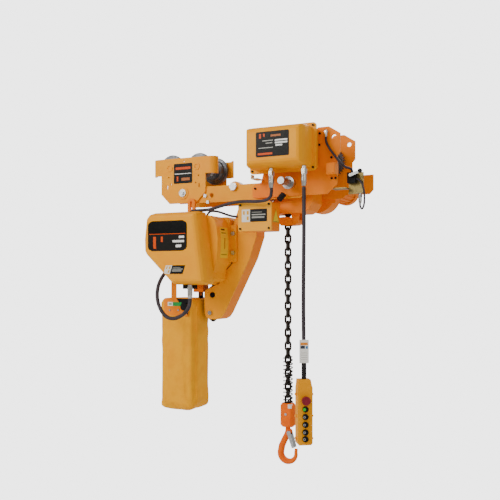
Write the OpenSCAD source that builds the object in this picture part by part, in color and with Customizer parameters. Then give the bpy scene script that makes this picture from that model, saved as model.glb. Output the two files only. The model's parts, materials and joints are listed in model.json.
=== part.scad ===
// Low-headroom chain hoist on a pair of beam trolleys.
// X runs along the beam, -Y is the control side, Z = 0 is the running surface of the lower flange.
// The hook's load line is X = 0, Y = 0.  All sizes are millimetres.

/* [Trolleys] */
// Distance between the outer faces of the side plates
trolley_w = 210; // [208:1:216]
// Thickness of the side plates
plate_t = 8; // [6:1:8]
// Tread diameter of the wheels
wheel_d = 100; // [98:1:102]
// Distance between the wheels of the idler trolley
idler_base = 147; // [144:1:150]
// Height of the side bars that join the two trolleys
bar_h = 74; // [70:1:76]

/* [Load chain] */
// Pitch of the chain, which is also the inner length of a link
link_pitch = 30; // [29.8:0.1:30.4]
// Diameter of the wire of a link
link_wire = 9.7; // [9:0.1:9.8]
// Outer width of a link
link_w = 34; // [33:0.5:34.5]

/* [Hook block] */
// Height of the top of the hook block
block_top = -1024; // [-1030:1:-1018]
// Outer diameter of the buffer spring
spring_d = 46; // [44:1:48]
// Height of the top of the buffer spring
spring_top = -814; // [-820:1:-800]

/* [Pendant] */
// Width of the pendant case
pendant_w = 62; // [60:1:66]
// Turn of the pendant about its cable, in degrees
pendant_turn = 36; // [30:1:42]

/* [Hidden] */

yellow = "#FAB81C";
orange = "#F28A14";
lid_tan = "#F6B655";
bag_yellow = "#F4BC1E";
steel = "#B9BCC0";
dark_steel = "#3A3634";
black = "#26262A";
cable_grey = "#4A4348";
cast_grey = "#6E7076";

// Trolleys
plate_out = trolley_w / 2;
plate_in = plate_out - plate_t;
idler_x = -486;
drive_x = 97;
wheel_z = wheel_d / 2;
tread_in = 40;
tread_out = 71;
rim_out = 87;
rim_r = wheel_d / 2 + 15;
axle_r = 15;
bearing_r = 26;
hub_fit = 0.05;
bar_t = 10;
bar_top = -45;
bar_out = plate_in;
bar_in = bar_out - bar_t;

// Gears of the trolley drive
drive_module = 4;
wheel_teeth = 32;
pinion_teeth = 12;
mesh_r = drive_module * (wheel_teeth + pinion_teeth) / 2;
drive_half = mesh_r * sin(60);
pinion_x = drive_x;
pinion_z = wheel_z - mesh_r * cos(60);
pinion_shaft_r = 11;

// Cross shafts that tie the side plates together: [x, z, radius, spacer radius]
suspension = [idler_x, -70];
mid_shaft = [-224, -54];
arm_shaft = [-135, -80];
long_shaft = [65, -59];

// Sheaves: centre and radius of the chain's centre line
load_c = [-348, -380];
load_r = 48;
guide_c = [-362, -544];
guide_r = 40;
lower_c = [-374, -627];
lower_r = 28;
upper_c = [-50, -115];
upper_r = 50;
sheave_pin_r = 12;

// Hoist gear train, all on one line that rises to the left of the load sheave
train_angle = 150;
load_module = 2.5;
load_teeth = 36;
load_pinion_teeth = 12;
first_module = 2.5;
first_teeth = 32;
rotor_teeth = 12;
load_mesh = load_module * (load_teeth + load_pinion_teeth) / 2;
first_mesh = first_module * (first_teeth + rotor_teeth) / 2;
train_dir = [cos(train_angle), sin(train_angle)];
counter_c = load_c + load_mesh * train_dir;
motor_c = counter_c + first_mesh * train_dir;

// Chain route: slack fall in the bag, over the load sheave, down round the guide sheave and the
// lower sheave, up the arm and over the upper sheave to the load line
slack_x = -450;
slack_bend = [slack_x, -508];
pile_top = -985;
fall_end = -1070;
run_end = -152;
tail_top = -675;

// Hook block, hook and latch
block_r = 34;
block_half = 27;
block_base = block_top - 106;
block_pin_z = block_top - 46;
shank_r = 11;
bowl = [2, -1250];
bowl_r = 37;
latch_pivot = [6, -1150];

// Pendant, in its own frame: the cable comes in at the top centre and the buttons face -Y
pendant_at = [169, -230];
pendant_top = -878;
pendant_h = 267;
pendant_d = 46;
button_rows = [-84, -120, -151, -182.5, -213.6, -241];

// Housings
box_x = [-104, 200];
box_z = [-17, 182];
box_back = -112;
box_flange = -170;
box_front = -288;
box_lip = 5;
box_wall = 4;
box_dome_x = [box_x[0] + 22, box_x[1] - 16];
box_dome_z = [box_z[0] + 12, box_z[1] - 16];
box_room_x = [box_dome_x[0] + box_wall, box_dome_x[1] - box_wall];
box_room_z = [box_dome_z[0] + box_wall, box_dome_z[1] - box_wall];
junction_x = [-150, 8];
junction_z = [-264, -140];
junction_y = [-198, -110];
bag_x = [-608, -427];
bag_y = [-125, 60];
bag_z = [-1081, -554];
gearbox_c = [97, -86];
gearbox_r = 82;
tmotor_c = [150, -50];
tmotor_r = 62;

// Routes of the cords, as hand-placed points
cover_cable_pts = [
    [22, -230, -60], [22, -230, -112], [10, -230, -132], [-14, -230, -140], [-50, -229, -141],
    [-110, -224, -138], [-170, -214, -140], [-230, -202, -150], [-290, -188, -160],
    [-340, -170, -161], [-382, -158, -160], [-414, -151, -164], [-432, -150, -182],
];
lid_cable_pts = [
    [-160, -156, -196], [-196, -156, -193], [-230, -150, -184], [-266, -140, -172],
    [-300, -132, -164], [-330, -128, -165], [-346, -126, -182],
];
loop_cable_pts = [
    [-372, -232, -540], [-374, -233, -585], [-392, -235, -615], [-420, -239, -636],
    [-452, -242, -646], [-486, -242, -640], [-516, -238, -616], [-540, -230, -580],
    [-554, -218, -540], [-558, -202, -500], [-552, -184, -464], [-540, -164, -434],
    [-528, -150, -406],
];
plate_cable_pts = [
    [222, -116, 138], [224, -116, 108], [240, -116, 76], [262, -116, 46], [284, -112, 18],
    [300, -98, 0], [312, -80, -4], [320, -69, -10], [321, -66, -22],
];
switch_loop_pts = [
    [354, -60, -140], [354, -60, -162], [362, -60, -175], [371, -60, -156], [372, -60, -112],
    [365, -62, -76], [353, -65, -55], [339, -66, -48],
];
pendant_cable_pts = [
    [169, -230, -91], [169, -230, -150], [169, -230, -260], [168, -230, -380], [167, -230, -500],
    [167, -230, -610], [168, -230, -700], [169, -230, -812],
];

// ---- Functions ----

function unit(v) = v / norm(v);

// Smooth curve through a list of points, with n steps between neighbours
function blend4(a, b, c, d, t) =
    0.5 * (2 * b + (c - a) * t + (2 * a - 5 * b + 4 * c - d) * t * t
        + (3 * b - a - 3 * c + d) * t * t * t);
function smooth(p, n) = [
    for (i = [0 : len(p) - 2])
        for (k = [0 : n - 1])
            blend4(p[max(i - 1, 0)], p[i], p[i + 1], p[min(i + 2, len(p) - 1)], k / n),
    p[len(p) - 1],
];

// Direction of a path at its point i
function heading(p, i) = unit(p[min(i + 1, len(p) - 1)] - p[max(i - 1, 0)]);

// One ring of a swept tube: centre c, direction t, half sizes r across and along the reference
function ring(c, t, ref, r, sides) =
    let (u = unit(cross(ref, t)), v = cross(t, u))
    [for (k = [0 : sides - 1]) c + r[0] * cos(360 * k / sides) * u + r[1] * sin(360 * k / sides) * v];

// Outline of a gear with straight-flanked teeth; a tooth points along phase
function gear_outline(m, z, phase) =
    let (tip = m * (z / 2 + 0.8), root = m * (z / 2 - 1.2), step = 360 / z)
    [for (k = [0 : z - 1], e = [[-0.33, root], [-0.11, tip], [0.11, tip], [0.33, root]])
        e[1] * [cos(phase + (k + e[0]) * step), sin(phase + (k + e[0]) * step)]];

// Tangent of a travelling chain between two sheaves.  A turn of +1 keeps the sheave on the left
// of the chain, -1 on its right.  Returns the angle of the straight stretch.
function tangent(c1, r1, s1, c2, r2, s2) =
    let (d = c2 - c1, a = atan2(d[1], d[0])) a + asin((s1 * r1 - s2 * r2) / norm(d)) * 1;

// Point where a chain heading along angle a touches a sheave
function touch(c, r, s, a) = c + s * r * [sin(a), -cos(a)];

// Chain stretches
slack_dir = tangent(slack_bend, 0, 1, load_c, load_r, -1);
load_dir = tangent(load_c, load_r, -1, guide_c, guide_r, 1);
guide_dir = tangent(guide_c, guide_r, 1, lower_c, lower_r, 1);
arm_dir = tangent(lower_c, lower_r, 1, upper_c, upper_r, -1);

// Points of an arc round a sheave, from the heading a1 to the heading a2
function round_sheave(c, r, s, a1, a2, n) =
    [for (k = [0 : n]) touch(c, r, s, a1 + (a2 - a1) * k / n)];
function wrap_to(a, s, b) = s > 0 ? a + ((b - a) % 360 + 360) % 360 : a - ((a - b) % 360 + 360) % 360;

load_out = wrap_to(slack_dir, -1, load_dir);
guide_out = wrap_to(load_dir, 1, guide_dir);
lower_out = wrap_to(guide_dir, 1, arm_dir);
upper_out = wrap_to(arm_dir, -1, 270);
chain_path = concat(
    [[slack_x, pile_top - 20], slack_bend],
    round_sheave(load_c, load_r, -1, slack_dir, load_out, 24),
    round_sheave(guide_c, guide_r, 1, load_dir, guide_out, 8),
    round_sheave(lower_c, lower_r, 1, guide_dir, lower_out, 20),
    round_sheave(upper_c, upper_r, -1, arm_dir, upper_out, 20),
    [[0, fall_end]]
);

// Length of the path up to each of its points
path_len = [
    for (i = 0, s = 0; i < len(chain_path); s = s + norm(chain_path[min(i + 1, len(chain_path) - 1)]
        - chain_path[i]), i = i + 1) s];
chain_total = path_len[len(path_len) - 1];
link_count = floor(chain_total / link_pitch) + 1;

// Point on the path at length s, counted back from the hook's end
function stretch_of(s) = len([for (v = path_len) if (v <= s) v]) - 1;
function at_length(s) =
    let (i = min(stretch_of(s), len(chain_path) - 2), f = (s - path_len[i]) / (path_len[i + 1] - path_len[i]))
    chain_path[i] + f * (chain_path[i + 1] - chain_path[i]);
function link_s(n) = chain_total - n * link_pitch;
function link_pos(n) = at_length(link_s(n));
function link_dir(n) =
    let (a = at_length(max(link_s(n) - 13, 0)), b = at_length(min(link_s(n) + 13, chain_total)))
    atan2(b[1] - a[1], b[0] - a[0]);

// ---- Shared shapes ----

// Tube swept along a path of 3-D points; r is a radius or one [across, along] pair for each point
module sweep(path, r, sides = 8, ref = [0, 1, 0]) {
    n = len(path);
    rings = [
        for (i = [0 : n - 1])
            each ring(path[i], heading(path, i), ref, is_list(r) ? r[i] : [r, r], sides)];
    walls = [
        for (i = [0 : n - 2], k = [0 : sides - 1])
            let (a = i * sides + k, b = i * sides + (k + 1) % sides)
            each [[a, a + sides, b + sides], [a, b + sides, b]]];
    first = [for (k = [0 : sides - 1]) k];
    last = [for (k = [sides - 1 : -1 : 0]) (n - 1) * sides + k];
    polyhedron(rings, concat(walls, [first], [last]), convexity = 8);
}

// Cylinder along Y between two values of y, at x, z
module ycyl(x, z, r, y1, y2) {
    translate([x, y1, z]) rotate([-90, 0, 0]) cylinder(r = r, h = y2 - y1, $fn = 64);
}

// Box between two corners
module block(lo, hi) {
    translate(lo) cube(hi - lo);
}

// Outline in X and Z, made solid between two values of y
module slab(points, y1, y2) {
    translate([0, y2, 0]) rotate([90, 0, 0]) linear_extrude(y2 - y1) polygon(points);
}

// The same for a 2-D child
module slab_of(y1, y2) {
    translate([0, y2, 0]) rotate([90, 0, 0]) linear_extrude(y2 - y1) children();
}

// Rounded rectangle in X and Z
module soft_rect(x, z, r, sides = 32) {
    translate([x[0] + r, z[0] + r]) offset(r = r, $fn = sides)
        square([x[1] - x[0] - 2 * r, z[1] - z[0] - 2 * r]);
}

// Shell cap that bulges towards -Y from an outline: back edge at y1, front at y2
module bulge(y1, y2, inset, steps = 4) {
    hull() for (k = [0 : steps]) {
        a = 90 * k / steps;
        y = y1 + (y2 - y1) * (0.45 + 0.55 * sin(a));
        slab_of(y, y + 0.5) offset(delta = -inset * (1 - cos(a))) children();
        if (k == 0) slab_of(y1 - 0.5, y1) children();
    }
}

// Hexagon nut or bolt head on an axis along Y, from y to y + t
module hex_y(x, z, across, y, t) {
    translate([x, y + t, z]) rotate([90, 0, 0])
        linear_extrude(t) circle(d = across / cos(30), $fn = 6);
}

// Socket screw head with its recess, on an axis along Y, growing towards -Y from y
module socket_head(x, z, d, y) {
    difference() {
        ycyl(x, z, d / 2, y - d * 0.6, y);
        translate([x, y - d * 0.3, z]) rotate([90, 0, 0]) cylinder(d = d * 0.55, h = d, $fn = 6);
    }
}

// Wheel on an axis along Y; side is -1 for the near rail and +1 for the far one
module trolley_wheel(x, side) {
    translate([x, 0, wheel_z]) rotate([-90 * side, 0, 0]) rotate_extrude($fn = 96) polygon([
        [bearing_r + hub_fit, tread_in + 4], [wheel_d / 2 - 14, tread_in + 4], [wheel_d / 2 - 11, tread_in],
        [wheel_d / 2 - 2, tread_in], [wheel_d / 2, tread_in + 2], [wheel_d / 2, tread_out - 2],
        [wheel_d / 2 + 2, tread_out], [rim_r - 3, tread_out + 1], [rim_r, tread_out + 4],
        [rim_r, rim_out - 4], [rim_r - 3, rim_out], [bearing_r + 8, rim_out],
        [bearing_r + 8, rim_out - 5], [bearing_r + hub_fit, rim_out - 5]]);
}

// Wheel whose rim carries the driving teeth
module geared_wheel(x, phase) {
    difference() {
        union() {
            translate([x, 0, wheel_z]) rotate([-90, 0, 0]) rotate_extrude($fn = 96) polygon([
                [0, tread_in + 4], [wheel_d / 2 - 14, tread_in + 4], [wheel_d / 2 - 11, tread_in],
                [wheel_d / 2 - 2, tread_in], [wheel_d / 2, tread_in + 2], [wheel_d / 2, tread_out + 1],
                [0, tread_out + 1]]);
            translate([x, 0, wheel_z]) slab(gear_outline(drive_module, wheel_teeth, phase), tread_out, rim_out);
        }
        ycyl(x, wheel_z, bearing_r + hub_fit, tread_in - 1, rim_out + 1);
    }
}

// Plain-grooved sheave: chain centre line at radius r, half thickness of the rim 22
module grooved_sheave(c, r, bore) {
    rim = r - link_wire / 2 - 1.2;
    root = r - link_w / 2 - 1.5;
    lip = r + 5;
    translate([c[0], 0, c[1]]) rotate([-90, 0, 0]) rotate_extrude($fn = 96) polygon([
        [bore, -25], [lip - 3, -25], [lip, -23], [lip, -20.5], [rim, -19], [rim, -7.5], [root, -6.5],
        [root, 6.5], [rim, 7.5], [rim, 19], [lip, 20.5], [lip, 23], [lip - 3, 25], [bore, 25]]);
}

// One chain link along X, lying flat in X and Y
module link() {
    r = (link_w - link_wire) / 2;
    half = (link_pitch + 2 * link_wire + 0.6 - link_wire) / 2 - r;
    for (s = [-1, 1]) {
        translate([-half, s * r, 0]) rotate([0, 90, 0]) cylinder(d = link_wire, h = 2 * half, $fn = 24);
        translate([s * half, 0, 0]) rotate([0, 0, s * 90 - 180])
            rotate_extrude(angle = 180, $fn = 32) translate([r, 0]) circle(d = link_wire, $fn = 24);
    }
}

// Links n1 to n2 of the chain, numbered up from the hook block's pin
module links(n1, n2) {
    for (n = [n1 : n2])
        translate([link_pos(n)[0], 0, link_pos(n)[1]])
            rotate([0, -link_dir(n), 0]) rotate([n % 2 == 0 ? 90 : 0, 0, 0]) link();
}

// ---- Trolleys ----

// Side plate outline of the idler trolley, about its middle
idler_half = 138;
idler_outline = [
    [-idler_half, 94], [idler_half, 94], [idler_half, 16], [119, 16], [119, -68], [79, -108], [69, -117],
    [-74, -117], [-119, -72], [-119, 16], [-idler_half, 16]];
label_screws = [[4, 77], [-78, 7], [83, 8], [-67, -25], [68, -24]];

module idler_plate(side) {
    face = side * plate_out;
    lo = min(side * plate_in, face);
    color(yellow) difference() {
        union() {
            translate([idler_x, 0, 0]) slab(idler_outline, lo, lo + plate_t);
            // Ends bent inwards as wheel guards
            for (e = [-1, 1])
                translate([idler_x + e * idler_half, side * (plate_in - 24), 16]) bent_end(e, side);
            // Raised seats of the wheel axles and ring round the suspension bolt
            for (e = [-1, 1]) ycyl(idler_x + e * idler_base / 2, wheel_z, 16,
                side > 0 ? plate_in + 1 : -plate_out - 3, side > 0 ? plate_out + 3 : -plate_in - 1);
            ycyl(suspension[0], suspension[1], 29,
                side > 0 ? plate_in + 1 : -plate_out - 3, side > 0 ? plate_out + 3 : -plate_in - 1);
        }
        for (e = [-1, 1]) ycyl(idler_x + e * idler_base / 2, wheel_z, axle_r - 5, -120, 120);
        ycyl(suspension[0], suspension[1], 14, -120, 120);
        for (p = label_screws) ycyl(idler_x + p[0], p[1], 3.5, -120, 120);
        for (e = [-1, 1]) translate([idler_x + e * 86.5, 0, -38])
            slab([[-3.5, -9], [3.5, -9], [3.5, 9], [-3.5, 9]], -120, 120);
    }
}

// Quarter-round return at the end e of a plate on the given side; drawn in place at the bend's centre
module bent_end(e, side) {
    turn = e > 0 ? (side > 0 ? 0 : -90) : (side > 0 ? 90 : 180);
    rotate([0, 0, turn]) rotate_extrude(angle = 90, $fn = 64) translate([24, 0]) square([plate_t, 78]);
}

module idler_plate_near() { idler_plate(-1); }
module idler_plate_far() { idler_plate(1); }

drive_outline = [
    [-122, -108], [-126, -100], [-126, -66], [-116, -54], [-84, -44], [-66, 20], [-66, 130], [-40, 150],
    [160, 150], [183, 174], [232, 174], [281, 143], [281, 62], [268, 48], [268, -71], [222, -110],
    [-100, -112]];
far_tongue = [[200, -11], [364, -11], [364, -78], [346, -96], [200, -96]];

module drive_plate_holes() {
    for (e = [-1, 1]) ycyl(drive_x + e * drive_half, wheel_z, axle_r - 5, -120, 120);
    ycyl(long_shaft[0], long_shaft[1], 15, -120, 120);
    ycyl(254, 129, 10, -120, 120);
}

module drive_plate_near() {
    color(orange) difference() {
        slab(drive_outline, -plate_out, -plate_in);
        drive_plate_holes();
    }
}

module drive_plate_far() {
    color(orange) difference() {
        union() {
            slab(drive_outline, plate_in, plate_out);
            slab(far_tongue, plate_in, plate_out);
        }
        drive_plate_holes();
        ycyl(pinion_x, pinion_z, 36, plate_in - 1, plate_out + 1);
    }
}

module idler_wheel_near_left() { color(cast_grey) trolley_wheel(idler_x - idler_base / 2, -1); }
module idler_wheel_near_right() { color(cast_grey) trolley_wheel(idler_x + idler_base / 2, -1); }
module idler_wheel_far_left() { color(cast_grey) trolley_wheel(idler_x - idler_base / 2, 1); }
module idler_wheel_far_right() { color(cast_grey) trolley_wheel(idler_x + idler_base / 2, 1); }
module drive_wheel_near_left() { color(cast_grey) trolley_wheel(drive_x - drive_half, -1); }
module drive_wheel_near_right() { color(cast_grey) trolley_wheel(drive_x + drive_half, -1); }
module geared_wheel_left() { color(cast_grey) geared_wheel(drive_x - drive_half, -30); }
module geared_wheel_right() { color(cast_grey) geared_wheel(drive_x + drive_half, 210); }

// One wheel axle: bolt through the plate, shoulder, and the pair of ball bearings on it
module wheel_axle(x, side) {
    translate([x, 0, wheel_z]) rotate([-90 * side, 0, 0]) {
        translate([0, 0, tread_in + 7]) cylinder(r = axle_r, h = plate_in - tread_in - 7, $fn = 48);
        translate([0, 0, plate_in]) cylinder(r = axle_r - 5, h = plate_t, $fn = 48);
        translate([0, 0, tread_in + 3]) cylinder(r = axle_r + 3, h = 4, $fn = 48);
        for (z = [tread_in + 8, tread_in + 24]) translate([0, 0, z]) difference() {
            cylinder(r = bearing_r, h = 14, $fn = 64);
            translate([0, 0, -1]) cylinder(r = axle_r, h = 16, $fn = 64);
        }
    }
}

module shaft_with_spacers(c, r, y1, y2, spacer_r, from) {
    ycyl(c[0], c[1], r, y1, y2);
    for (s = [-1, 1]) difference() {
        ycyl(c[0], c[1], spacer_r, s > 0 ? from : -bar_in, s > 0 ? bar_in : -from);
        ycyl(c[0], c[1], r, -bar_in - 1, bar_in + 1);
    }
}

module axles_and_shafts() {
    color(steel) {
        for (x = [idler_x - idler_base / 2, idler_x + idler_base / 2,
                  drive_x - drive_half, drive_x + drive_half], side = [-1, 1]) wheel_axle(x, side);
        shaft_with_spacers(suspension, 14, -plate_out - 3, plate_out + 3, 24, 8);
        shaft_with_spacers(mid_shaft, 12, -plate_in - 4, plate_in + 4, 26, 40);
        shaft_with_spacers(arm_shaft, 12, -plate_in, plate_in, 18, 61);
        shaft_with_spacers(long_shaft, 15, -230, plate_out + 22, 24, 61);
    }
}

module side_bars() {
    color(yellow) for (s = [-1, 1]) difference() {
        slab([[-520, bar_top], [108, bar_top], [108, bar_top - bar_h + 12], [96, bar_top - bar_h],
              [-508, bar_top - bar_h], [-520, bar_top - bar_h + 12]],
            s > 0 ? bar_in : -bar_out, s > 0 ? bar_out : -bar_in);
        ycyl(suspension[0], suspension[1], 14, -120, 120);
        ycyl(mid_shaft[0], mid_shaft[1], 12, -120, 120);
        ycyl(arm_shaft[0], arm_shaft[1], 12, -120, 120);
        ycyl(long_shaft[0], long_shaft[1], 15, -120, 120);
        ycyl(-339, -87, 11, -120, 120);
    }
}

// ---- Upper sheave housing and arm ----

housing_outline = [
    [-150, -50], [139, -50], [139, -138], [118, -170], [96, -180], [-118, -180], [-150, -150]];
housing_inside = [
    [-170, -58], [131, -58], [131, -136], [113, -163], [94, -172], [-114, -172], [-170, -172]];

module sheave_housing() {
    color(orange) difference() {
        slab(housing_outline, -60, 60);
        slab(housing_inside, -52, 52);
        block([-151, -52, -181], [-104, 52, -40]);
        block([-24, -24, -190], [24, 24, -160]);
        ycyl(upper_c[0], upper_c[1], sheave_pin_r, -70, 70);
        ycyl(arm_shaft[0], arm_shaft[1], 12, -70, 70);
        ycyl(long_shaft[0], long_shaft[1], 15, -70, 70);
        block([-112, -30, -60], [-4, 30, -40]);
    }
}

module upper_sheave() { color(dark_steel) grooved_sheave(upper_c, upper_r, sheave_pin_r + hub_fit); }
module guide_sheave() { color(dark_steel) grooved_sheave(guide_c, guide_r, 10 + hub_fit); }
module lower_sheave() { color(dark_steel) grooved_sheave(lower_c, lower_r, 8 + hub_fit); }

module sheave_pins() {
    color(steel) {
        ycyl(upper_c[0], upper_c[1], sheave_pin_r, -66, 66);
        ycyl(guide_c[0], guide_c[1], 10, -45, 45);
        ycyl(lower_c[0], lower_c[1], 8, -48, 48);
        for (s = [-1, 1]) {
            hex_y(lower_c[0], lower_c[1], 19, s > 0 ? 48 : -54, 6);
            hex_y(upper_c[0], upper_c[1], 30, s > 0 ? 66 : -72, 6);
        }
    }
    color(black) for (s = [-1, 1]) ycyl(guide_c[0], guide_c[1], 13, s > 0 ? 45 : -47.5, s > 0 ? 47.5 : -45);
}

arm_outline = [
    [-165, -56], [-108, -56], [-108, -205], [-136, -250], [-136, -274], [-170, -374], [-300, -627],
    [-316, -648], [-334, -657], [-380, -657], [-398, -646], [-405, -628], [-407, -537], [-401, -522],
    [-328, -491], [-304, -444], [-257, -398], [-257, -232], [-228, -150], [-165, -110]];

module arm_frame() {
    color(yellow) {
        for (s = [-1, 1]) difference() {
            slab(arm_outline, s > 0 ? 39 : -45, s > 0 ? 45 : -39);
            ycyl(arm_shaft[0], arm_shaft[1], 12, -70, 70);
            ycyl(guide_c[0], guide_c[1], 10, -70, 70);
            ycyl(lower_c[0], lower_c[1], 8, -70, 70);
            for (z = [-262, -350]) ycyl(-247, z, 6, -70, 70);
        }
        // Cross webs between the two plates, clear of the chain
        slab([[-258, -275], [-252, -275], [-252, -338], [-258, -338]], -39, 39);
        slab([[-164, -62], [-158, -62], [-158, -108], [-164, -108]], -39, 39);
    }
}

// Closing strip down the outer edge of the arm
cover_line = [[-136, -252], [-136, -274], [-170, -374], [-300, -627], [-316, -648], [-334, -657]];
module arm_cover() {
    color(orange) slab(concat(
        [for (p = cover_line) p],
        [for (k = [len(cover_line) - 1 : -1 : 0]) cover_line[k] + (k > 4 ? [0, 4] : [-4.5, 1])]), -39, 39);
}

// ---- Hoist body ----

// Outline of the body as seen from the control side, scaled about its middle by k
cover_mid = [-459, -330];
cover_outline = [
    [-592, -196], [-574, -176], [-548, -170], [-336, -170], [-322, -176], [-317, -192], [-317, -392],
    [-300, -420], [-279, -470], [-281, -488], [-290, -495], [-440, -495], [-456, -490], [-470, -476],
    [-498, -440], [-560, -384], [-590, -364], [-601, -344], [-603, -290], [-598, -262], [-592, -250]];
case_outline = [
    [-580, -200], [-560, -182], [-330, -182], [-300, -187], [-281, -203], [-269, -235], [-262, -290],
    [-263, -340], [-270, -395], [-284, -440],
    [-284, -470], [-300, -484], [-440, -486], [-470, -462], [-560, -376], [-584, -350], [-590, -290]];
chain_case_outline = [
    [-560, -200], [-540, -186], [-275, -186], [-262, -200], [-262, -394], [-306, -440], [-330, -484],
    [-345, -497], [-476, -497], [-500, -480], [-560, -400]];
chain_case_inside = [
    [-552, -204], [-536, -194], [-279, -194], [-268, -204], [-268, -390], [-312, -436], [-336, -480],
    [-348, -489], [-472, -489], [-494, -474], [-552, -396]];

module gear_case() {
    color(yellow) difference() {
        union() {
            slab(case_outline, -178, -62);
            slab(chain_case_outline, -64, 60);
            // Ears that clamp the arm
            for (s = [-1, 1])
                slab([[-268, -223], [-232, -223], [-232, -392], [-268, -392]], s > 0 ? 46 : -58, s > 0 ? 58 : -46);
        }
        slab([for (p = case_outline) cover_mid + (p - cover_mid) * 0.95], -172, -70);
        slab(chain_case_inside, -52, 52);
        // Bores of the shafts through the inner walls
        ycyl(load_c[0], load_c[1], 15.05, -75, 70);
        ycyl(counter_c[0], counter_c[1], 10.05, -75, 70);
        ycyl(motor_c[0], motor_c[1], 12.05, -80, 70);
        // Slots where the chain leaves, and where the arm enters
        translate([load_c[0], 0, load_c[1]]) rotate([0, -load_dir, 0]) translate([0, -22, 28])
            cube([150, 44, 42]);
        block([slack_x - 22, -22, -500], [slack_x + 22, 22, -484]);
        block([-270, -46, -400], [-255, 46, -225]);
        for (z = [-262, -350]) ycyl(-247, z, 6, -70, 70);
    }
}

module front_cover() {
    color(yellow) difference() {
        bulge(-180, -270, 26, 4) polygon(cover_outline);
        bulge(-179, -266, 26, 3) offset(delta = -4) polygon(cover_outline);
    }
}

module motor_housing() {
    color(yellow) difference() {
        union() {
            ycyl(motor_c[0], motor_c[1], 100, 60, 72);
            ycyl(motor_c[0], motor_c[1], 90, 70, 200);
            // Cooling fins
            for (k = [0 : 23]) translate([motor_c[0], 0, motor_c[1]]) rotate([0, k * 15, 0])
                block([86, 74, -1.5], [99, 196, 1.5]);
        }
        ycyl(motor_c[0], motor_c[1], 72, 72, 201);
        ycyl(motor_c[0], motor_c[1], 12.05, 50, 80);
    }
}

module fan_cover() {
    color(yellow) difference() {
        union() {
            ycyl(motor_c[0], motor_c[1], 98, 200, 240);
            ycyl(motor_c[0], motor_c[1], 88, 238, 250);
        }
        ycyl(motor_c[0], motor_c[1], 84, 199, 245);
        // Air inlet slots
        for (k = [-3 : 3]) block([motor_c[0] - 60 + 6 * abs(k), 244, motor_c[1] + k * 18 - 4],
            [motor_c[0] + 60 - 6 * abs(k), 252, motor_c[1] + k * 18 + 4]);
    }
}

module motor_stator() {
    color("#8C5A3C") difference() {
        ycyl(motor_c[0], motor_c[1], 72, 86, 176);
        ycyl(motor_c[0], motor_c[1], 38, 85, 177);
    }
}

module motor_rotor() {
    color(steel) {
        ycyl(motor_c[0], motor_c[1], 12, -76, 222);
        difference() {
            union() {
                ycyl(motor_c[0], motor_c[1], 37, 90, 172);
                ycyl(motor_c[0], motor_c[1], 24, 206, 222);
                for (k = [0 : 8]) translate([motor_c[0], 0, motor_c[1]]) rotate([0, k * 40, 0])
                    block([20, 208, -1.5], [78, 228, 1.5]);
            }
            ycyl(motor_c[0], motor_c[1], 11.9, 80, 230);
        }
        translate([motor_c[0], 0, motor_c[1]])
            slab(gear_outline(first_module, rotor_teeth, train_angle), -100, -76);
    }
}

module counter_gear() {
    color(steel) {
        translate([counter_c[0], 0, counter_c[1]])
            slab(gear_outline(first_module, first_teeth, train_angle + 180 / first_teeth), -98, -78);
        translate([counter_c[0], 0, counter_c[1]])
            slab(gear_outline(load_module, load_pinion_teeth, train_angle), -138, -98);
        ycyl(counter_c[0], counter_c[1], 10, -78, -40);
        ycyl(counter_c[0], counter_c[1], 10, -160, -138);
    }
}

module load_sheave() {
    color(dark_steel) {
        difference() {
            grooved_sheave(load_c, load_r, 15);
            // Pockets for the flat links
            for (k = [0 : 4]) translate([load_c[0], 0, load_c[1]]) rotate([0, k * 72, 0])
                block([load_r - 8, -18, -22], [load_r + 8, 18, 22]);
        }
        ycyl(load_c[0], load_c[1], 15, -140, 58);
        difference() {
            translate([load_c[0], 0, load_c[1]])
                slab(gear_outline(load_module, load_teeth, train_angle + 180 / load_teeth), -134, -102);
            ycyl(load_c[0], load_c[1], 15, -140, -90);
        }
    }
}

// Contactors, terminal strips and transformer: [x, y back, z, width, depth, height]
contactors = [
    [-560, -178, -290, 58, 56, 70], [-496, -178, -290, 58, 56, 70], [-430, -178, -290, 90, 46, 70],
    [-60, box_back - 4, 40, 60, 90, 90], [10, box_back - 4, 40, 60, 90, 90],
    [84, box_back - 4, 30, 80, 80, 100], [-120, junction_y[1] - 4, -230, 90, 34, 50]];

module switchgear() {
    color("#3B3E44") for (c = contactors) {
        block([c[0], c[1] - c[4], c[2]], [c[0] + c[3], c[1], c[2] + c[5]]);
        for (k = [0 : 2]) block(
            [c[0] + c[3] * (0.12 + 0.3 * k), c[1] - c[4] - 5, c[2] + c[5] * 0.15],
            [c[0] + c[3] * (0.28 + 0.3 * k), c[1] - c[4] + 1, c[2] + c[5] * 0.85]);
    }
    // Terminal strip on the underside of the body
    color(lid_tan) block([-420, -215, -514], [-362, -185, -495]);
}

// ---- Fasteners ----

box_screws = [
    [box_x[0] + 12, box_z[0] + 12], [box_x[1] - 12, box_z[0] + 12],
    [box_x[0] + 12, box_z[1] - 12], [box_x[1] - 12, box_z[1] - 12]];
lid_screws = [
    [junction_x[0] + 11, junction_z[0] + 11], [junction_x[1] - 11, junction_z[0] + 11],
    [junction_x[0] + 11, junction_z[1] - 11], [junction_x[1] - 11, junction_z[1] - 11]];

module washer(x, z, r, hole, y1, y2) {
    difference() {
        ycyl(x, z, r, y1, y2);
        ycyl(x, z, hole, y1 - 1, y2 + 1);
    }
}

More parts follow.
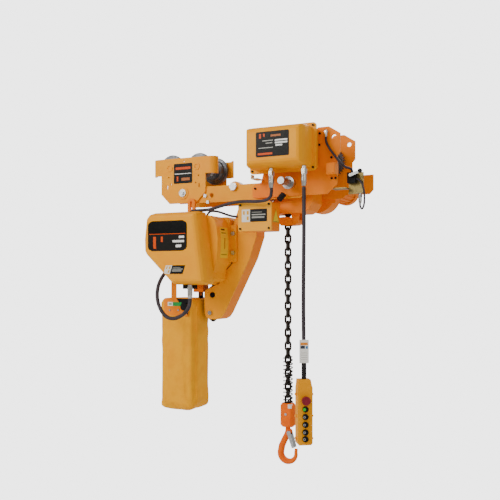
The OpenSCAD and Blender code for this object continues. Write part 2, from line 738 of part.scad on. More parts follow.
module fasteners() {
    color(steel) for (s = [-1, 1]) {
        // Suspension bolt washer and head
        ycyl(suspension[0], suspension[1], 18, s > 0 ? plate_out + 3 : -plate_out - 7,
            s > 0 ? plate_out + 7 : -plate_out - 3);
        ycyl(suspension[0], suspension[1], 9, s > 0 ? plate_out + 7 : -plate_out - 12,
            s > 0 ? plate_out + 12 : -plate_out - 7);
        hex_y(mid_shaft[0], mid_shaft[1], 32, s > 0 ? plate_in + 4 : -plate_in - 12, 8);
    }
    color(steel) {
        washer(long_shaft[0], long_shaft[1], 27, 15, -152, -144);
        difference() {
            hex_y(long_shaft[0], long_shaft[1], 44, -144, 14);
            ycyl(long_shaft[0], long_shaft[1], 15, -160, -120);
        }
        difference() {
            hex_y(long_shaft[0], long_shaft[1], 44, plate_out, 14);
            ycyl(long_shaft[0], long_shaft[1], 15, plate_out - 1, plate_out + 20);
        }
        for (p = [[-370, -88], [-356, -117]]) hex_y(p[0], p[1], 15, -bar_out - 7, 7);
        for (z = [-262, -350]) {
            ycyl(-247, z, 6, -58, 58);
            hex_y(-247, z, 19, -66, 8);
            hex_y(-247, z, 19, 58, 8);
        }
    }
    color(black) {
        for (p = box_screws) socket_head(p[0], p[1], 9, box_flange - 5);
        for (p = lid_screws) socket_head(p[0], p[1], 9, junction_y[0]);
        for (p = [[192, 147], [190, 99], [244, 42], [-112, -70], [245, -46], [262, -46]])
            socket_head(p[0], p[1], 9, -plate_out);
    }
    color(steel) for (p = [[-543, -615], [-496, -614]]) ycyl(p[0], p[1], 4.5, bag_y[0] - 6.6, bag_y[0] - 2.6);
}

// ---- Chain bag ----

bag_outline = [
    [bag_x[0] + 6, bag_z[0] + 16], [bag_x[0] + 30, bag_z[0]], [bag_x[1] - 26, bag_z[0]],
    [bag_x[1], bag_z[0] + 20], [bag_x[1], bag_z[1]], [bag_x[0] + 50, bag_z[1]], [bag_x[0], bag_z[1] - 22]];

module chain_bag() {
    color(bag_yellow) difference() {
        slab(bag_outline, bag_y[0], bag_y[1]);
        block([bag_x[0] + 8, bag_y[0] + 4, bag_z[0] + 22], [bag_x[1] - 4, bag_y[1] - 4, bag_z[1] - 22]);
        block([bag_x[0] + 58, bag_y[0] + 4, bag_z[1] - 24], [bag_x[1] - 4, bag_y[1] - 4, bag_z[1] + 1]);
    }
}

module brackets() {
    // Slotted lifting lug on top of the body
    color(orange) difference() {
        union() {
            slab([[-450, -182], [-412, -182], [-412, -118], [-450, -118]], -124, -112);
            ycyl(-431, -118, 19, -124, -112);
        }
        slab([[-436, -146], [-426, -146], [-426, -116], [-436, -116]], -130, -100);
        ycyl(-431, -116, 5, -130, -100);
        ycyl(-431, -146, 5, -130, -100);
    }
    // Strap and knob that hang the bag, and its back plate
    color(orange) {
        slab([[-575, -640], [-445, -640], [-445, -560], [-508, -560], [-508, -426], [-536, -399],
              [-536, -560], [-575, -560]], bag_y[0] - 2.6, bag_y[0]);
        slab([[-500, -640], [-480, -640], [-480, -460], [-500, -460]], bag_y[1], bag_y[1] + 4);
    }
    // Chute that leads the slack chain into the bag
    color(orange) difference() {
        block([slack_x - 26, -26, -532], [slack_x + 26, 26, -497]);
        block([slack_x - 20, -20, -540], [slack_x + 20, 20, -490]);
    }
    color(black) ycyl(-459, -597, 18, bag_y[0] - 19, bag_y[0] - 3);
    // Feet of the control box and the cream angle under its corner
    color(orange) for (x = [box_x[0] + 54, box_x[1] - 50])
        block([x, box_back, 60], [x + 20, -plate_out, 120]);
    color("#E9DDBE") {
        block([-104, -168, -36], [-74, -105, -32]);
        block([-104, -168, -36], [-100, -140, -17]);
    }
    // Cheeks that carry the hook's upper limit lever
    color(orange) for (s = [-1, 1]) difference() {
        slab([[30, -180], [70, -180], [64, -226], [40, -226]], s > 0 ? 30 : -36, s > 0 ? 36 : -30);
        ycyl(50, -212, 4, -40, 40);
    }
    color(steel) ycyl(50, -212, 4, -36, 36);
    // Angle that holds the travel limit switch
    color("#9A8A5A") {
        block([301, -52, -110], [366, -47, -20]);
        block([342, -72, -110], [366, -52, -105]);
        block([240, -97, -90], [305, -47, -85]);
    }
    // Arm that carries the junction box
    color(orange) {
        block([-110, junction_y[1], -236], [-40, junction_y[1] + 6, -120]);
        block([-100, junction_y[1] + 6, -176], [-50, -60, -168]);
    }
    // Rubber stop beside the junction box
    color(black) translate([30, -119, -103]) rotate([32, 208, 0]) cylinder(r = 13, h = 33, $fn = 48);
    // Flanged seat of the trolley motor's plug, in zinc
    color("#D8CDB0") {
        block([235, -150, -34], [274, -plate_out, 13]);
        block([238, -152, -30], [271, -150, 9]);
    }
}

// ---- Control box and junction box ----

module control_box_base() {
    color(yellow) difference() {
        union() {
            slab_of(box_flange, box_flange + 6) soft_rect(box_x, box_z, 12);
            slab_of(box_flange + 6, box_back)
                soft_rect([box_x[0] + 14, box_x[1] - 14], [box_z[0] + 12, box_z[1] - 12], 14);
        }
        slab_of(box_flange - 1, box_back - 4)
            soft_rect([box_x[0] + 18, box_x[1] - 18], [box_z[0] + 16, box_z[1] - 16], 12);
    }
    // Lip the cover is welded to, held by the corner screws
    color(yellow) difference() {
        slab_of(box_flange - box_lip, box_flange) soft_rect(box_x, box_z, 12);
        slab_of(box_flange - box_lip - 1, box_flange + 1) soft_rect(box_room_x, box_room_z, 10);
    }
}

module control_box_cover() {
    color(yellow) difference() {
        bulge(box_flange - box_lip, box_front, 26) soft_rect(box_dome_x, box_dome_z, 14, 12);
        bulge(box_flange + 6, box_front + box_wall, 26) soft_rect(box_room_x, box_room_z, 10, 12);
    }
}

module junction_box() {
    color(orange) difference() {
        slab_of(junction_y[0] + 8, junction_y[1]) soft_rect(junction_x, junction_z, 6);
        slab_of(junction_y[0] + 7, junction_y[1] - 4)
            soft_rect([junction_x[0] + 5, junction_x[1] - 5], [junction_z[0] + 5, junction_z[1] - 5], 3);
    }
}

module junction_lid() {
    color(lid_tan) slab_of(junction_y[0], junction_y[0] + 8) soft_rect(junction_x, junction_z, 7);
}

// Cable gland on an axis given by a rotation: body, hexagon and dome nut, bored for its cable
module gland(at, turn, r, h, bore) {
    translate(at) rotate(turn) difference() {
        union() {
            cylinder(r = r * 0.8, h = h * 0.3, $fn = 48);
            translate([0, 0, h * 0.15]) cylinder(r = r * 1.1, h = h * 0.25, $fn = 6);
            translate([0, 0, h * 0.4]) cylinder(r = r * 0.92, h = h * 0.35, $fn = 48);
            translate([0, 0, h * 0.75]) cylinder(r1 = r * 0.92, r2 = r * 0.7, h = h * 0.25, $fn = 48);
        }
        translate([0, 0, h * 0.5]) cylinder(r = bore, h = h, $fn = 48);
    }
}

module cable_glands() {
    color(steel) {
        gland([22, -230, box_z[0] + 11], [180, 0, 0], 13, 82, 7.1);
        gland([pendant_at[0], pendant_at[1], box_z[0] + 11], [180, 0, 0], 13, 82, 8.1);
        gland([-372, -232, -495], [180, 0, 0], 12, 62, 8.6);
        gland([222, -116, 158], [180, 0, 0], 9, 30, 5.1);
        gland([354, -60, -110], [180, 0, 0], 8, 42, 4.1);
    }
    color("#B08A3E") gland([junction_x[0], -156, -196], [0, -90, 0], 9, 22, 5.1);
}

// ---- Trolley drive ----

module trolley_gearbox() {
    color(orange) difference() {
        union() {
            ycyl(gearbox_c[0], gearbox_c[1], gearbox_r, 112, 200);
            ycyl(pinion_x, pinion_z, 40, plate_out, 150);
            block([pinion_x - 40, 112, gearbox_c[1]], [pinion_x + 40, 150, pinion_z]);
            block([gearbox_c[0] - 90, plate_out, -128], [gearbox_c[0] + 90, 114, -100]);
        }
        ycyl(gearbox_c[0], gearbox_c[1], gearbox_r - 7, 119, 192);
        ycyl(pinion_x, pinion_z, 33, plate_out + 6, 144);
        block([pinion_x - 33, 119, gearbox_c[1]], [pinion_x + 33, 144, pinion_z]);
        ycyl(pinion_x, pinion_z, pinion_shaft_r + hub_fit, plate_out - 1, 160);
        ycyl(long_shaft[0], long_shaft[1], 33, plate_out - 1, 140);
    }
}

module trolley_motor() {
    color(orange) {
        difference() {
            union() {
                ycyl(tmotor_c[0], tmotor_c[1], tmotor_r - 6, 200, 352);
                for (k = [0 : 19]) translate([tmotor_c[0], 0, tmotor_c[1]]) rotate([0, k * 18, 0])
                    block([tmotor_r - 10, 208, -1.4], [tmotor_r, 340, 1.4]);
            }
            ycyl(tmotor_c[0], tmotor_c[1], tmotor_r - 12, 206, 360);
        }
        difference() {
            ycyl(tmotor_c[0], tmotor_c[1], tmotor_r + 1, 341, 380);
            ycyl(tmotor_c[0], tmotor_c[1], tmotor_r - 3, 340, 376);
        }
        ycyl(tmotor_c[0], tmotor_c[1], tmotor_r - 14, 212, 330);
    }
}

module drive_pinion() {
    color(steel) {
        translate([pinion_x, 0, pinion_z]) slab(gear_outline(drive_module, pinion_teeth, 15), 73, 87);
        ycyl(pinion_x, pinion_z, pinion_shaft_r, 87, 140);
    }
}

module limit_switch() {
    color(black) {
        block([303, -80, -66], [339, -52, -22]);
        ycyl(321, -34, 9, -92, -80);
    }
}

// Lever with a roller that a stop on the beam tips over
module switch_lever() {
    color(steel) difference() {
        slab([[315, -40], [322, -42], [371, -25], [369, -17], [361, -17], [317, -30]], -97, -93);
    }
    color(black) ycyl(366, -21, 9, -105, -97);
}

// ---- Load chain, hook block and hook ----

first_run = len([for (n = [0 : link_count - 1]) if (link_s(n) > chain_total + fall_end - run_end) n]);
first_fall = len([for (n = [0 : link_count - 1]) if (link_s(n) > chain_total + fall_end - tail_top) n]);

module chain_tail() { color(dark_steel) links(0, first_fall - 1); }
module chain_fall() { color(dark_steel) links(first_fall, first_run - 1); }
module chain_run() {
    color(dark_steel) {
        links(first_run, link_count - 1);
        // Slack chain heaped in the bag
        translate([slack_x - 82, (bag_y[0] + bag_y[1]) / 2, bag_z[0] + 26]) rotate_extrude($fn = 48)
            polygon([[0, 0], [56, 0], [60, 14], [54, 36], [34, 56], [0, 64]]);
    }
}

lever_outline = [
    [-28, -194], [-10, -192], [24, -196], [50, -203], [60, -208], [60, -222], [46, -230], [-20, -232],
    [-28, -224]];

module limit_lever() {
    color(orange) difference() {
        slab(lever_outline, -29, 29);
        block([-22, -22, -260], [22, 22, -180]);
        ycyl(50, -212, 4.05, -40, 40);
    }
}

spring_turns = 12;
module buffer_spring() {
    wire = 5.6;
    steps = spring_turns * 12;
    r = (spring_d - wire) / 2;
    z0 = block_top + wire / 2 + 0.2;
    rise = spring_top - block_top - wire - 0.2;
    color(black) sweep([
        for (k = [0 : steps]) [r * cos(30 * k), r * sin(30 * k), z0 + rise * k / steps]],
        wire / 2, 6, [0, 0, 1]);
}

module hook_block() {
    color(orange) difference() {
        intersection() {
            translate([0, 0, block_base]) rotate_extrude($fn = 96) polygon([
                [0, 0], [26, 0], [block_r, 9], [block_r, 94], [28, 104], [24, 106], [0, 106]]);
            block([-50, -block_half, block_base - 1], [50, block_half, block_top + 1]);
        }
        // Way for the chain, pin of the last link, and hook shank with its thrust nut
        translate([0, 0, block_pin_z - 26]) cylinder(r = 18.5, h = 90, $fn = 64);
        translate([0, 0, block_base - 1]) cylinder(r = shank_r + hub_fit, h = 40, $fn = 64);
        translate([0, 0, block_base + 12]) cylinder(r = 20, h = 24, $fn = 64);
        ycyl(0, block_pin_z - 2, 6, -40, 40);
    }
    color(steel) ycyl(0, block_pin_z - 2, 6, -block_half - 2, block_half + 2);
}

// Centre line of the hook: down from the shank, out to the left and round the bowl to the tip
hook_line = concat(
    smooth([[0, 0, -1133], [0, 0, -1148], [-4, 0, -1166], [-16, 0, -1190], [-29, 0, -1218]], 3),
    [for (a = [175 : 15 : 370]) [bowl[0] + bowl_r * cos(a), 0, bowl[1] + bowl_r * sin(a)]],
    [[bowl[0] + bowl_r + 1, 0, bowl[1] + 22]]
);
function hook_size(i) =
    let (t = i / (len(hook_line) - 1))
    [11 + 4 * sin(180 * min(1, t * 1.1)) - 4 * max(0, t - 0.7) / 0.3,
     10 + 7 * sin(180 * pow(t, 1.5)) - 2 * max(0, t - 0.7) / 0.3];

module hook() {
    color(orange) {
        sweep(hook_line, [for (i = [0 : len(hook_line) - 1]) hook_size(i)], 12);
        // Neck boss that the latch turns on
        block([-4, -9, -1158], [15, 9, -1142]);
    }
    color(steel) {
        translate([0, 0, -1140]) cylinder(r = shank_r, h = 40, $fn = 64);
        translate([0, 0, block_base + 12.3]) difference() {
            cylinder(r = 19.5, h = 18, $fn = 64);
            translate([0, 0, -1]) cylinder(r = shank_r, h = 20, $fn = 64);
        }
    }
}

latch_tip = [29, -1222];
module hook_latch() {
    dir = unit(latch_tip - latch_pivot);
    side = [-dir[1], dir[0]];
    color(steel) {
        for (s = [-1, 1]) slab([latch_pivot + 9 * side, latch_pivot - 9 * side + 2 * dir,
            latch_tip - 5 * side, latch_tip + 7 * side], s > 0 ? 11.9 : -14, s > 0 ? 14 : -11.9);
        slab([latch_pivot + 9 * side + 16 * dir, latch_pivot + 6 * side + 16 * dir,
            latch_tip + 4 * side, latch_tip + 7 * side], -14, 14);
        ycyl(latch_pivot[0], latch_pivot[1], 3, -16, -10.4);
        ycyl(latch_pivot[0], latch_pivot[1], 3, 10.4, 16);
    }
}

// ---- Cords ----

module wiring() {
    color(cable_grey) {
        sweep(smooth(cover_cable_pts, 3), 7, 8, [0, 0.98, 0.2]);
        sweep(smooth(lid_cable_pts, 3), 5, 8, [0, 0.98, 0.2]);
        sweep(smooth(loop_cable_pts, 3), 8.5, 8, [0, 1, 0]);
        sweep(smooth(plate_cable_pts, 3), 5, 8, [0, 1, 0]);
        sweep(smooth(switch_loop_pts, 3), 4, 8, [0, 1, 0]);
    }
}

module pendant_cable() {
    color(cable_grey) sweep(smooth(pendant_cable_pts, 3), 8, 8, [0, 1, 0]);
}

// ---- Pendant ----

// Places its children in the pendant's own frame
module at_pendant() {
    translate([pendant_at[0], pendant_at[1], pendant_top]) rotate([0, 0, pendant_turn]) children();
}

module pendant_case() {
    half = pendant_w / 2;
    at_pendant() {
        color("#F0B40F") difference() {
            union() {
                slab([[-half + 4, 0], [half - 8, 0], [half - 3, -24], [half, -34], [half, -pendant_h + 8],
                      [half - 6, -pendant_h], [-half + 6, -pendant_h], [-half, -pendant_h + 8],
                      [-half, -34], [-half + 2, -24]], -pendant_d / 2, pendant_d / 2);
                // Lugs of the case screws
                for (z = [-62, -150, -242], s = [-1, 1])
                    ycyl(s * (half + 1), z, 6, -8, 8);
            }
            slab([[-half + 4, -8], [half - 10, -8], [half - 4, -36], [half - 4, -pendant_h + 6],
                  [-half + 4, -pendant_h + 6], [-half + 4, -36]], -pendant_d / 2 + 4, pendant_d / 2 - 4);
            for (z = button_rows) ycyl(0, z, z == button_rows[0] ? 11.2 : 12.2, -pendant_d, 0);
            translate([0, 0, -20]) cylinder(r = 8.2, h = 30, $fn = 48);
        }
        // Rubber boot and tag on the cable
        color(black) difference() {
            translate([0, 0, -7]) cylinder(r = 10, h = 73, $fn = 48);
            translate([0, 0, -8]) cylinder(r = 8.05, h = 80, $fn = 48);
        }
    }
    color("white") translate([pendant_at[0], pendant_at[1], -812]) rotate([0, 0, 26])
        block([-19, -11, 0], [19, -9, 95]);
}

// Plain button that slides inside a raised black ring
module ringed_button(row) {
    at_pendant() ycyl(0, button_rows[row], 12.12, -pendant_d / 2 - 8, -pendant_d / 2 + 12);
}

module stop_button() { color("#8C1F33") {
    at_pendant() {
        ycyl(0, button_rows[0], 11.1, -pendant_d / 2 - 8, -pendant_d / 2 + 12);
        ycyl(0, button_rows[0], 18, -pendant_d / 2 - 20, -pendant_d / 2 - 8);
    }
} }
module start_button() { color("#3FA34A") ringed_button(1); }
module up_button() { color(black) ringed_button(2); }
module down_button() { color(black) ringed_button(3); }
module left_button() { color(black) ringed_button(4); }
module right_button() { color(black) ringed_button(5); }

idler_plate_near();
idler_plate_far();
drive_plate_near();
drive_plate_far();
idler_wheel_near_left();
idler_wheel_near_right();
idler_wheel_far_left();
idler_wheel_far_right();
drive_wheel_near_left();
drive_wheel_near_right();
geared_wheel_left();
geared_wheel_right();
axles_and_shafts();
side_bars();
sheave_housing();
upper_sheave();
guide_sheave();
lower_sheave();
sheave_pins();
arm_frame();
arm_cover();
gear_case();
front_cover();
motor_housing();
fan_cover();
motor_stator();
motor_rotor();
counter_gear();
load_sheave();
switchgear();
fasteners();
chain_bag();
brackets();
control_box_base();
control_box_cover();
junction_box();
junction_lid();
cable_glands();
trolley_gearbox();
trolley_motor();
drive_pinion();
limit_switch();
switch_lever();
chain_run();
chain_fall();
chain_tail();
limit_lever();
buffer_spring();
hook_block();
hook();
hook_latch();
wiring();
pendant_cable();
pendant_case();
stop_button();
start_button();
up_button();
down_button();
left_button();
right_button();
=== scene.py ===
"""Looks of a low-headroom motor trolley hoist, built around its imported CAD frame."""

import json
import math

import bmesh
import bpy
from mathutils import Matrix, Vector
from mathutils.bvhtree import BVHTree


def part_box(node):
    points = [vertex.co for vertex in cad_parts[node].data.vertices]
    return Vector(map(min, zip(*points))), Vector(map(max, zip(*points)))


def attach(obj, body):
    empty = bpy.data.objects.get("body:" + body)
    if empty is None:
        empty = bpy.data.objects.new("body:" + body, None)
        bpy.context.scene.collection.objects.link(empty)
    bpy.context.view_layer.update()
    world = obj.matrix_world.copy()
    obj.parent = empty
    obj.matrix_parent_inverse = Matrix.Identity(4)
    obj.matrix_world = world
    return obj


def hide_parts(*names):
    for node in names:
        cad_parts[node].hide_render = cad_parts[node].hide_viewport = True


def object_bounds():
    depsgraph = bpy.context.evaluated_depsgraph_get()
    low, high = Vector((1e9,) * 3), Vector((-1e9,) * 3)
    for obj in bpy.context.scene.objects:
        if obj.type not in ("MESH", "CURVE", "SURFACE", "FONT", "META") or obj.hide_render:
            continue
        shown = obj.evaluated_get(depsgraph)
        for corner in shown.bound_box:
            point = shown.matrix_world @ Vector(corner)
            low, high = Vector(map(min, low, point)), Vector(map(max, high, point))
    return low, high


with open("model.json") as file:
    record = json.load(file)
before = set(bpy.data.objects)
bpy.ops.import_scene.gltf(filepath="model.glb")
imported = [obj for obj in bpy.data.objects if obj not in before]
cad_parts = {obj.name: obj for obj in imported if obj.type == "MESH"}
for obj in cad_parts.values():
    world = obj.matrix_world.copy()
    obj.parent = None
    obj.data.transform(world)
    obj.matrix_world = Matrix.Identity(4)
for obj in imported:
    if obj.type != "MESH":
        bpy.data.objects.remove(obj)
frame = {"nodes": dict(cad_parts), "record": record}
NODES = frame["nodes"]
CAD_BOX = [list(corner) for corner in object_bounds()]
MM = 0.001


# ---- Camera ----

CAMERA_PLACE = (1.2584, -2.9439, -0.465)
CAMERA_AIM = (-0.4415, 0.8973, 0.0)
LENS_MM = 51.3
SENSOR_MM = 36.0
FRAME_SHIFT = 0.056


def make_camera():
    """A level camera at the control side, a little towards the driven trolley."""
    data = bpy.data.cameras.new("camera")
    data.lens = LENS_MM
    data.sensor_width = SENSOR_MM
    data.shift_y = FRAME_SHIFT
    data.dof.use_dof = False
    data.clip_start = 0.05
    data.clip_end = 60.0
    camera = bpy.data.objects.new("camera", data)
    bpy.context.scene.collection.objects.link(camera)
    camera.location = CAMERA_PLACE
    camera.rotation_mode = "QUATERNION"
    camera.rotation_quaternion = Vector(CAMERA_AIM).to_track_quat("-Z", "Y")
    bpy.context.scene.camera = camera


make_camera()


# ---- Materials ----

def srgb(code):
    """A linear colour from a hex code such as FABA1A."""
    channels = [int(code[i:i + 2], 16) / 255 for i in (0, 2, 4)]
    return [c / 12.92 if c <= 0.04045 else ((c + 0.055) / 1.055) ** 2.4 for c in channels] + [1.0]


def add(tree, kind, inputs=None, **settings):
    """Adds a node, sets its properties, then fills or links its inputs."""
    node = tree.nodes.new("ShaderNode" + kind)
    for key, value in settings.items():
        setattr(node, key, value)
    for key, value in (inputs or {}).items():
        if isinstance(value, bpy.types.NodeSocket):
            tree.links.new(value, node.inputs[key])
        else:
            node.inputs[key].default_value = value
    return node


def mixed(tree, factor, a, b):
    """Colour between a and b."""
    node = add(tree, "Mix", data_type="RGBA")
    for key, value in ((0, factor), (6, a), (7, b)):
        if isinstance(value, bpy.types.NodeSocket):
            tree.links.new(value, node.inputs[key])
        else:
            node.inputs[key].default_value = value
    return node.outputs[2]


def blank(name):
    """An empty material and its node tree."""
    material = bpy.data.materials.new(name)
    material.use_nodes = True
    tree = material.node_tree
    tree.nodes.clear()
    return material, tree


def noise_of(tree, size_mm, detail=3.0, rough=0.55, stretch=(1, 1, 1)):
    """Noise whose features are about size_mm across, in object space."""
    coords = add(tree, "TexCoord").outputs["Object"]
    place = add(tree, "Mapping", {"Vector": coords, "Scale": stretch})
    texture = add(tree, "TexNoise", {
        "Vector": place.outputs[0], "Scale": 1 / (size_mm * MM), "Detail": detail, "Roughness": rough})
    return texture.outputs["Fac"]


def ranged(tree, value, low, high, to_low, to_high):
    """The value moved from one range to another and kept inside it."""
    node = add(tree, "MapRange", {
        "Value": value, "From Min": low, "From Max": high, "To Min": to_low, "To Max": to_high})
    return node.outputs[0]


# Specular level of enamel, plastic and rubber, of printed film and cloth, and of bare metal
COATED_SPECULAR = 0.14
FILM_SPECULAR = 0.12
METAL_SPECULAR = 0.5


def surface(name, light, dark, mottle_mm, rough, grain_mm, grain_depth_mm, metallic=0.0, edge=None,
            edge_mm=1.2, coat=0.0, stretch=(1, 1, 1), dirt=None):
    """A finish: mottled colour, varied roughness, fine relief, softened and worn edges."""
    material, tree = blank(name)
    tone = ranged(tree, noise_of(tree, mottle_mm, 4.0), 0.3, 0.7, 0.0, 1.0)
    colour = mixed(tree, tone, srgb(light), srgb(dark))
    if dirt:
        dust = ranged(tree, noise_of(tree, mottle_mm * 0.35, 8.0, 0.7), 0.56, 0.78, 0.0, 0.55)
        colour = mixed(tree, dust, colour, srgb(dirt))
    soft = add(tree, "Bevel", {"Radius": edge_mm * MM}, samples=4).outputs[0]
    if edge:
        flat = add(tree, "NewGeometry").outputs["Normal"]
        turn = add(tree, "VectorMath", {0: soft, 1: flat}, operation="DOT_PRODUCT").outputs["Value"]
        worn = ranged(tree, turn, 0.97, 0.80, 0.0, 0.75)
        patchy = ranged(tree, noise_of(tree, 6.0, 4.0), 0.42, 0.62, 0.15, 1.0)
        amount = add(tree, "Math", {0: worn, 1: patchy}, operation="MULTIPLY").outputs[0]
        colour = mixed(tree, amount, colour, srgb(edge))
    roughness = ranged(tree, noise_of(tree, mottle_mm * 0.5, 5.0), 0.3, 0.7, rough[0], rough[1])
    relief = add(tree, "Bump", {
        "Height": noise_of(tree, grain_mm, 3.0, 0.6, stretch), "Strength": 0.6,
        "Distance": grain_depth_mm * MM, "Normal": soft})
    shader = add(tree, "BsdfPrincipled", {
        "Base Color": colour, "Roughness": roughness, "Metallic": metallic, "Coat Weight": coat,
        "Coat Roughness": 0.12, "Specular IOR Level": METAL_SPECULAR if metallic else COATED_SPECULAR,
        "Normal": relief.outputs[0]})
    out = add(tree, "OutputMaterial")
    tree.links.new(shader.outputs[0], out.inputs[0])
    return material


M = {}
# Enamel on castings and sheet: warm yellow with faint orange peel, a little darker in patches
M["yellow_paint"] = surface("yellow_enamel", "FFAE00", "FAA000", 90, (0.34, 0.46), 1.6, 0.05,
                            edge="FFC21E", edge_mm=1.6)
# Enamel on plate: the same paint as the yellow enamel, made a deeper orange as painted shade; slightly
# rougher, with lighter worn arrises
M["orange_paint"] = surface("yellow_enamel_shaded", "FF8E00", "FA8400", 80, (0.36, 0.48), 1.4, 0.05,
                            edge="FFA61E", edge_mm=1.4)
# Deep orange enamel of the forged hook and its block
M["hook_paint"] = surface("hook_enamel", "FF7400", "F06400", 40, (0.38, 0.50), 2.4, 0.10,
                          edge="FF922A", edge_mm=1.5)
# Pale peach enamel of the junction box lid
M["lid_paint"] = surface("lid_enamel", "FFB42E", "F8A826", 60, (0.34, 0.44), 1.5, 0.05,
                         edge="FFCB66")
# Turned tread, cast web: mid grey with brown oil in the pits
M["cast_wheel"] = surface("machined_cast_iron", "7B7E84", "5E6066", 25, (0.36, 0.55), 0.9, 0.06,
                          metallic=0.8, edge="A9ACB0", dirt="3A3028")
# Turned steel with fine rings and light oil
M["turned_steel"] = surface("turned_steel", "C4C6C8", "A5A7AA", 20, (0.22, 0.36), 0.5, 0.02,
                            metallic=1.0, edge="E4E4E4", edge_mm=0.6, stretch=(1, 6, 1))
# Bright zinc plate with its soft spangle
M["zinc_steel"] = surface("zinc_plate", "CACCCE", "AEB2B8", 8, (0.24, 0.38), 1.2, 0.02,
                          metallic=1.0, edge="E8E8E8", edge_mm=0.5)
# Nickel plate on the cable glands: bright and smooth
M["nickel_brass"] = surface("nickel_plate", "DCDAD6", "C4C2BE", 12, (0.10, 0.20), 0.8, 0.01,
                            metallic=1.0, edge="F4F4F2", edge_mm=0.6)
# Bare brass of the small gland
M["bare_brass"] = surface("brass", "C89C4A", "A87C34", 10, (0.22, 0.34), 0.8, 0.02, metallic=1.0,
                          edge="E6C27A", edge_mm=0.6)
# Blackened chain with thick oil: dark brown, glossy in spots
M["chain_steel"] = surface("oiled_chain_steel", "4A433E", "2C2825", 9, (0.22, 0.48), 1.0, 0.06,
                           metallic=0.85, edge="8C8680", edge_mm=1.0, dirt="221C18")
# Black oxide on the buffer spring
M["spring_steel"] = surface("black_oxide_spring", "2C2B2C", "1D1C1E", 12, (0.32, 0.48), 0.8, 0.02,
                            metallic=0.7, edge="5A5856", edge_mm=0.5)
# Varnished copper winding and laminations
M["stator_copper"] = surface("varnished_copper", "9A5B36", "6E3E24", 6, (0.3, 0.5), 0.8, 0.1,
                             metallic=0.7, stretch=(1, 8, 1))
# Moulded black plastic with a fine spark texture
M["black_plastic"] = surface("black_plastic", "161619", "0F0F12", 30, (0.42, 0.56), 0.5, 0.02,
                             edge="3C3C40", edge_mm=0.8)
# Black rubber of stops and boots, dusty
M["black_rubber"] = surface("black_rubber", "2A292B", "201F21", 14, (0.60, 0.78), 0.7, 0.04,
                            edge="434245", dirt="3C3A38")
# Matt grey sheath of the cables
M["cable_rubber"] = surface("cable_sheath", "4A444B", "3A353B", 30, (0.48, 0.62), 0.6, 0.03,
                            edge_mm=0.3, dirt="5E5860")
# Glass-filled yellow plastic of the pendant
M["pendant_plastic"] = surface("pendant_plastic", "FAA800", "F09C00", 30, (0.38, 0.50), 0.6, 0.04,
                               edge="F8C548", edge_mm=1.0)
# Maroon gloss plastic of the stop button
M["red_plastic"] = surface("red_plastic", "8F2034", "7A182A", 10, (0.24, 0.34), 0.6, 0.01,
                           edge="B04A5C", coat=0.3)
# Green gloss plastic of the start button
M["green_plastic"] = surface("green_plastic", "3FA24A", "2F8A3C", 8, (0.26, 0.36), 0.6, 0.01,
                             edge="70C27A", coat=0.2)
# Cream primer on the small angle
M["cream_paint"] = surface("cream_paint", "E9DDBE", "DCCFAC", 20, (0.4, 0.5), 1.0, 0.03, edge="F7F0DA")
# Yellow-passivated zinc on the limit switch angle
M["olive_zinc"] = surface("yellow_zinc", "A8935A", "82744A", 10, (0.26, 0.42), 0.9, 0.02,
                          metallic=0.9, edge="CDBB84")
# Brown protective grease on the long shaft
M["greased_steel"] = surface("greased_steel", "A9886B", "7E6450", 16, (0.26, 0.44), 1.0, 0.03,
                             metallic=0.75, edge="C8AC90", stretch=(1, 3, 1))
# White paper of the tag
M["white_card"] = surface("white_card", "F2F2F0", "E9E9E6", 20, (0.55, 0.65), 0.5, 0.01)


# Thread spacing of the bag cloth
THREAD_MM = 1.3


def coated_cloth():
    """Coated woven bag cloth: a plain weave of 1.3 mm threads, folds, patches darker towards the bottom and
    little shine.
    """
    material, tree = blank("coated_bag_cloth")
    coords = add(tree, "TexCoord").outputs["Object"]
    thread = math.tau / (THREAD_MM * MM)
    parts = add(tree, "SeparateXYZ", {0: coords})
    across = add(tree, "Math", {0: parts.outputs[0], 1: parts.outputs[1]}, operation="ADD").outputs[0]
    waves = []
    for value in (across, parts.outputs[2]):
        phase = add(tree, "Math", {0: value, 1: thread / 2}, operation="MULTIPLY").outputs[0]
        waves.append(add(tree, "Math", {0: phase}, operation="SINE").outputs[0])
    weave = add(tree, "Math", {0: waves[0], 1: waves[1]}, operation="MULTIPLY").outputs[0]
    tone = ranged(tree, noise_of(tree, 70, 5.0), 0.3, 0.7, 0.0, 1.0)
    colour = mixed(tree, tone, srgb("FFB400"), srgb("FAA600"))
    # Darker orange in patches towards the bottom of the bag
    low = ranged(tree, parts.outputs[2], -1.10, -0.70, 0.35, 0.0)
    patch_noise = ranged(tree, noise_of(tree, 35, 8.0, 0.7), 0.45, 0.75, 0.0, 1.0)
    low_dark_patches = add(tree, "Math", {0: low, 1: patch_noise}, operation="MULTIPLY").outputs[0]
    colour = mixed(tree, low_dark_patches, colour, srgb("C07800"))
    height = add(tree, "Math", {0: weave, 1: 0.5}, operation="MULTIPLY").outputs[0]
    fine = add(tree, "Bump", {"Height": height, "Strength": 0.5, "Distance": 0.12 * MM})
    crease = add(tree, "Bump", {
        "Height": noise_of(tree, 60, 2.0, 0.5, (1, 1, 0.45)), "Strength": 0.45,
        "Distance": 5 * MM, "Normal": fine.outputs[0]})
    shader = add(tree, "BsdfPrincipled", {
        "Base Color": colour, "Roughness": 0.55, "Specular IOR Level": FILM_SPECULAR,
        "Normal": crease.outputs[0]})
    out = add(tree, "OutputMaterial")
    tree.links.new(shader.outputs[0], out.inputs[0])
    return material


M["bag_cloth"] = coated_cloth()


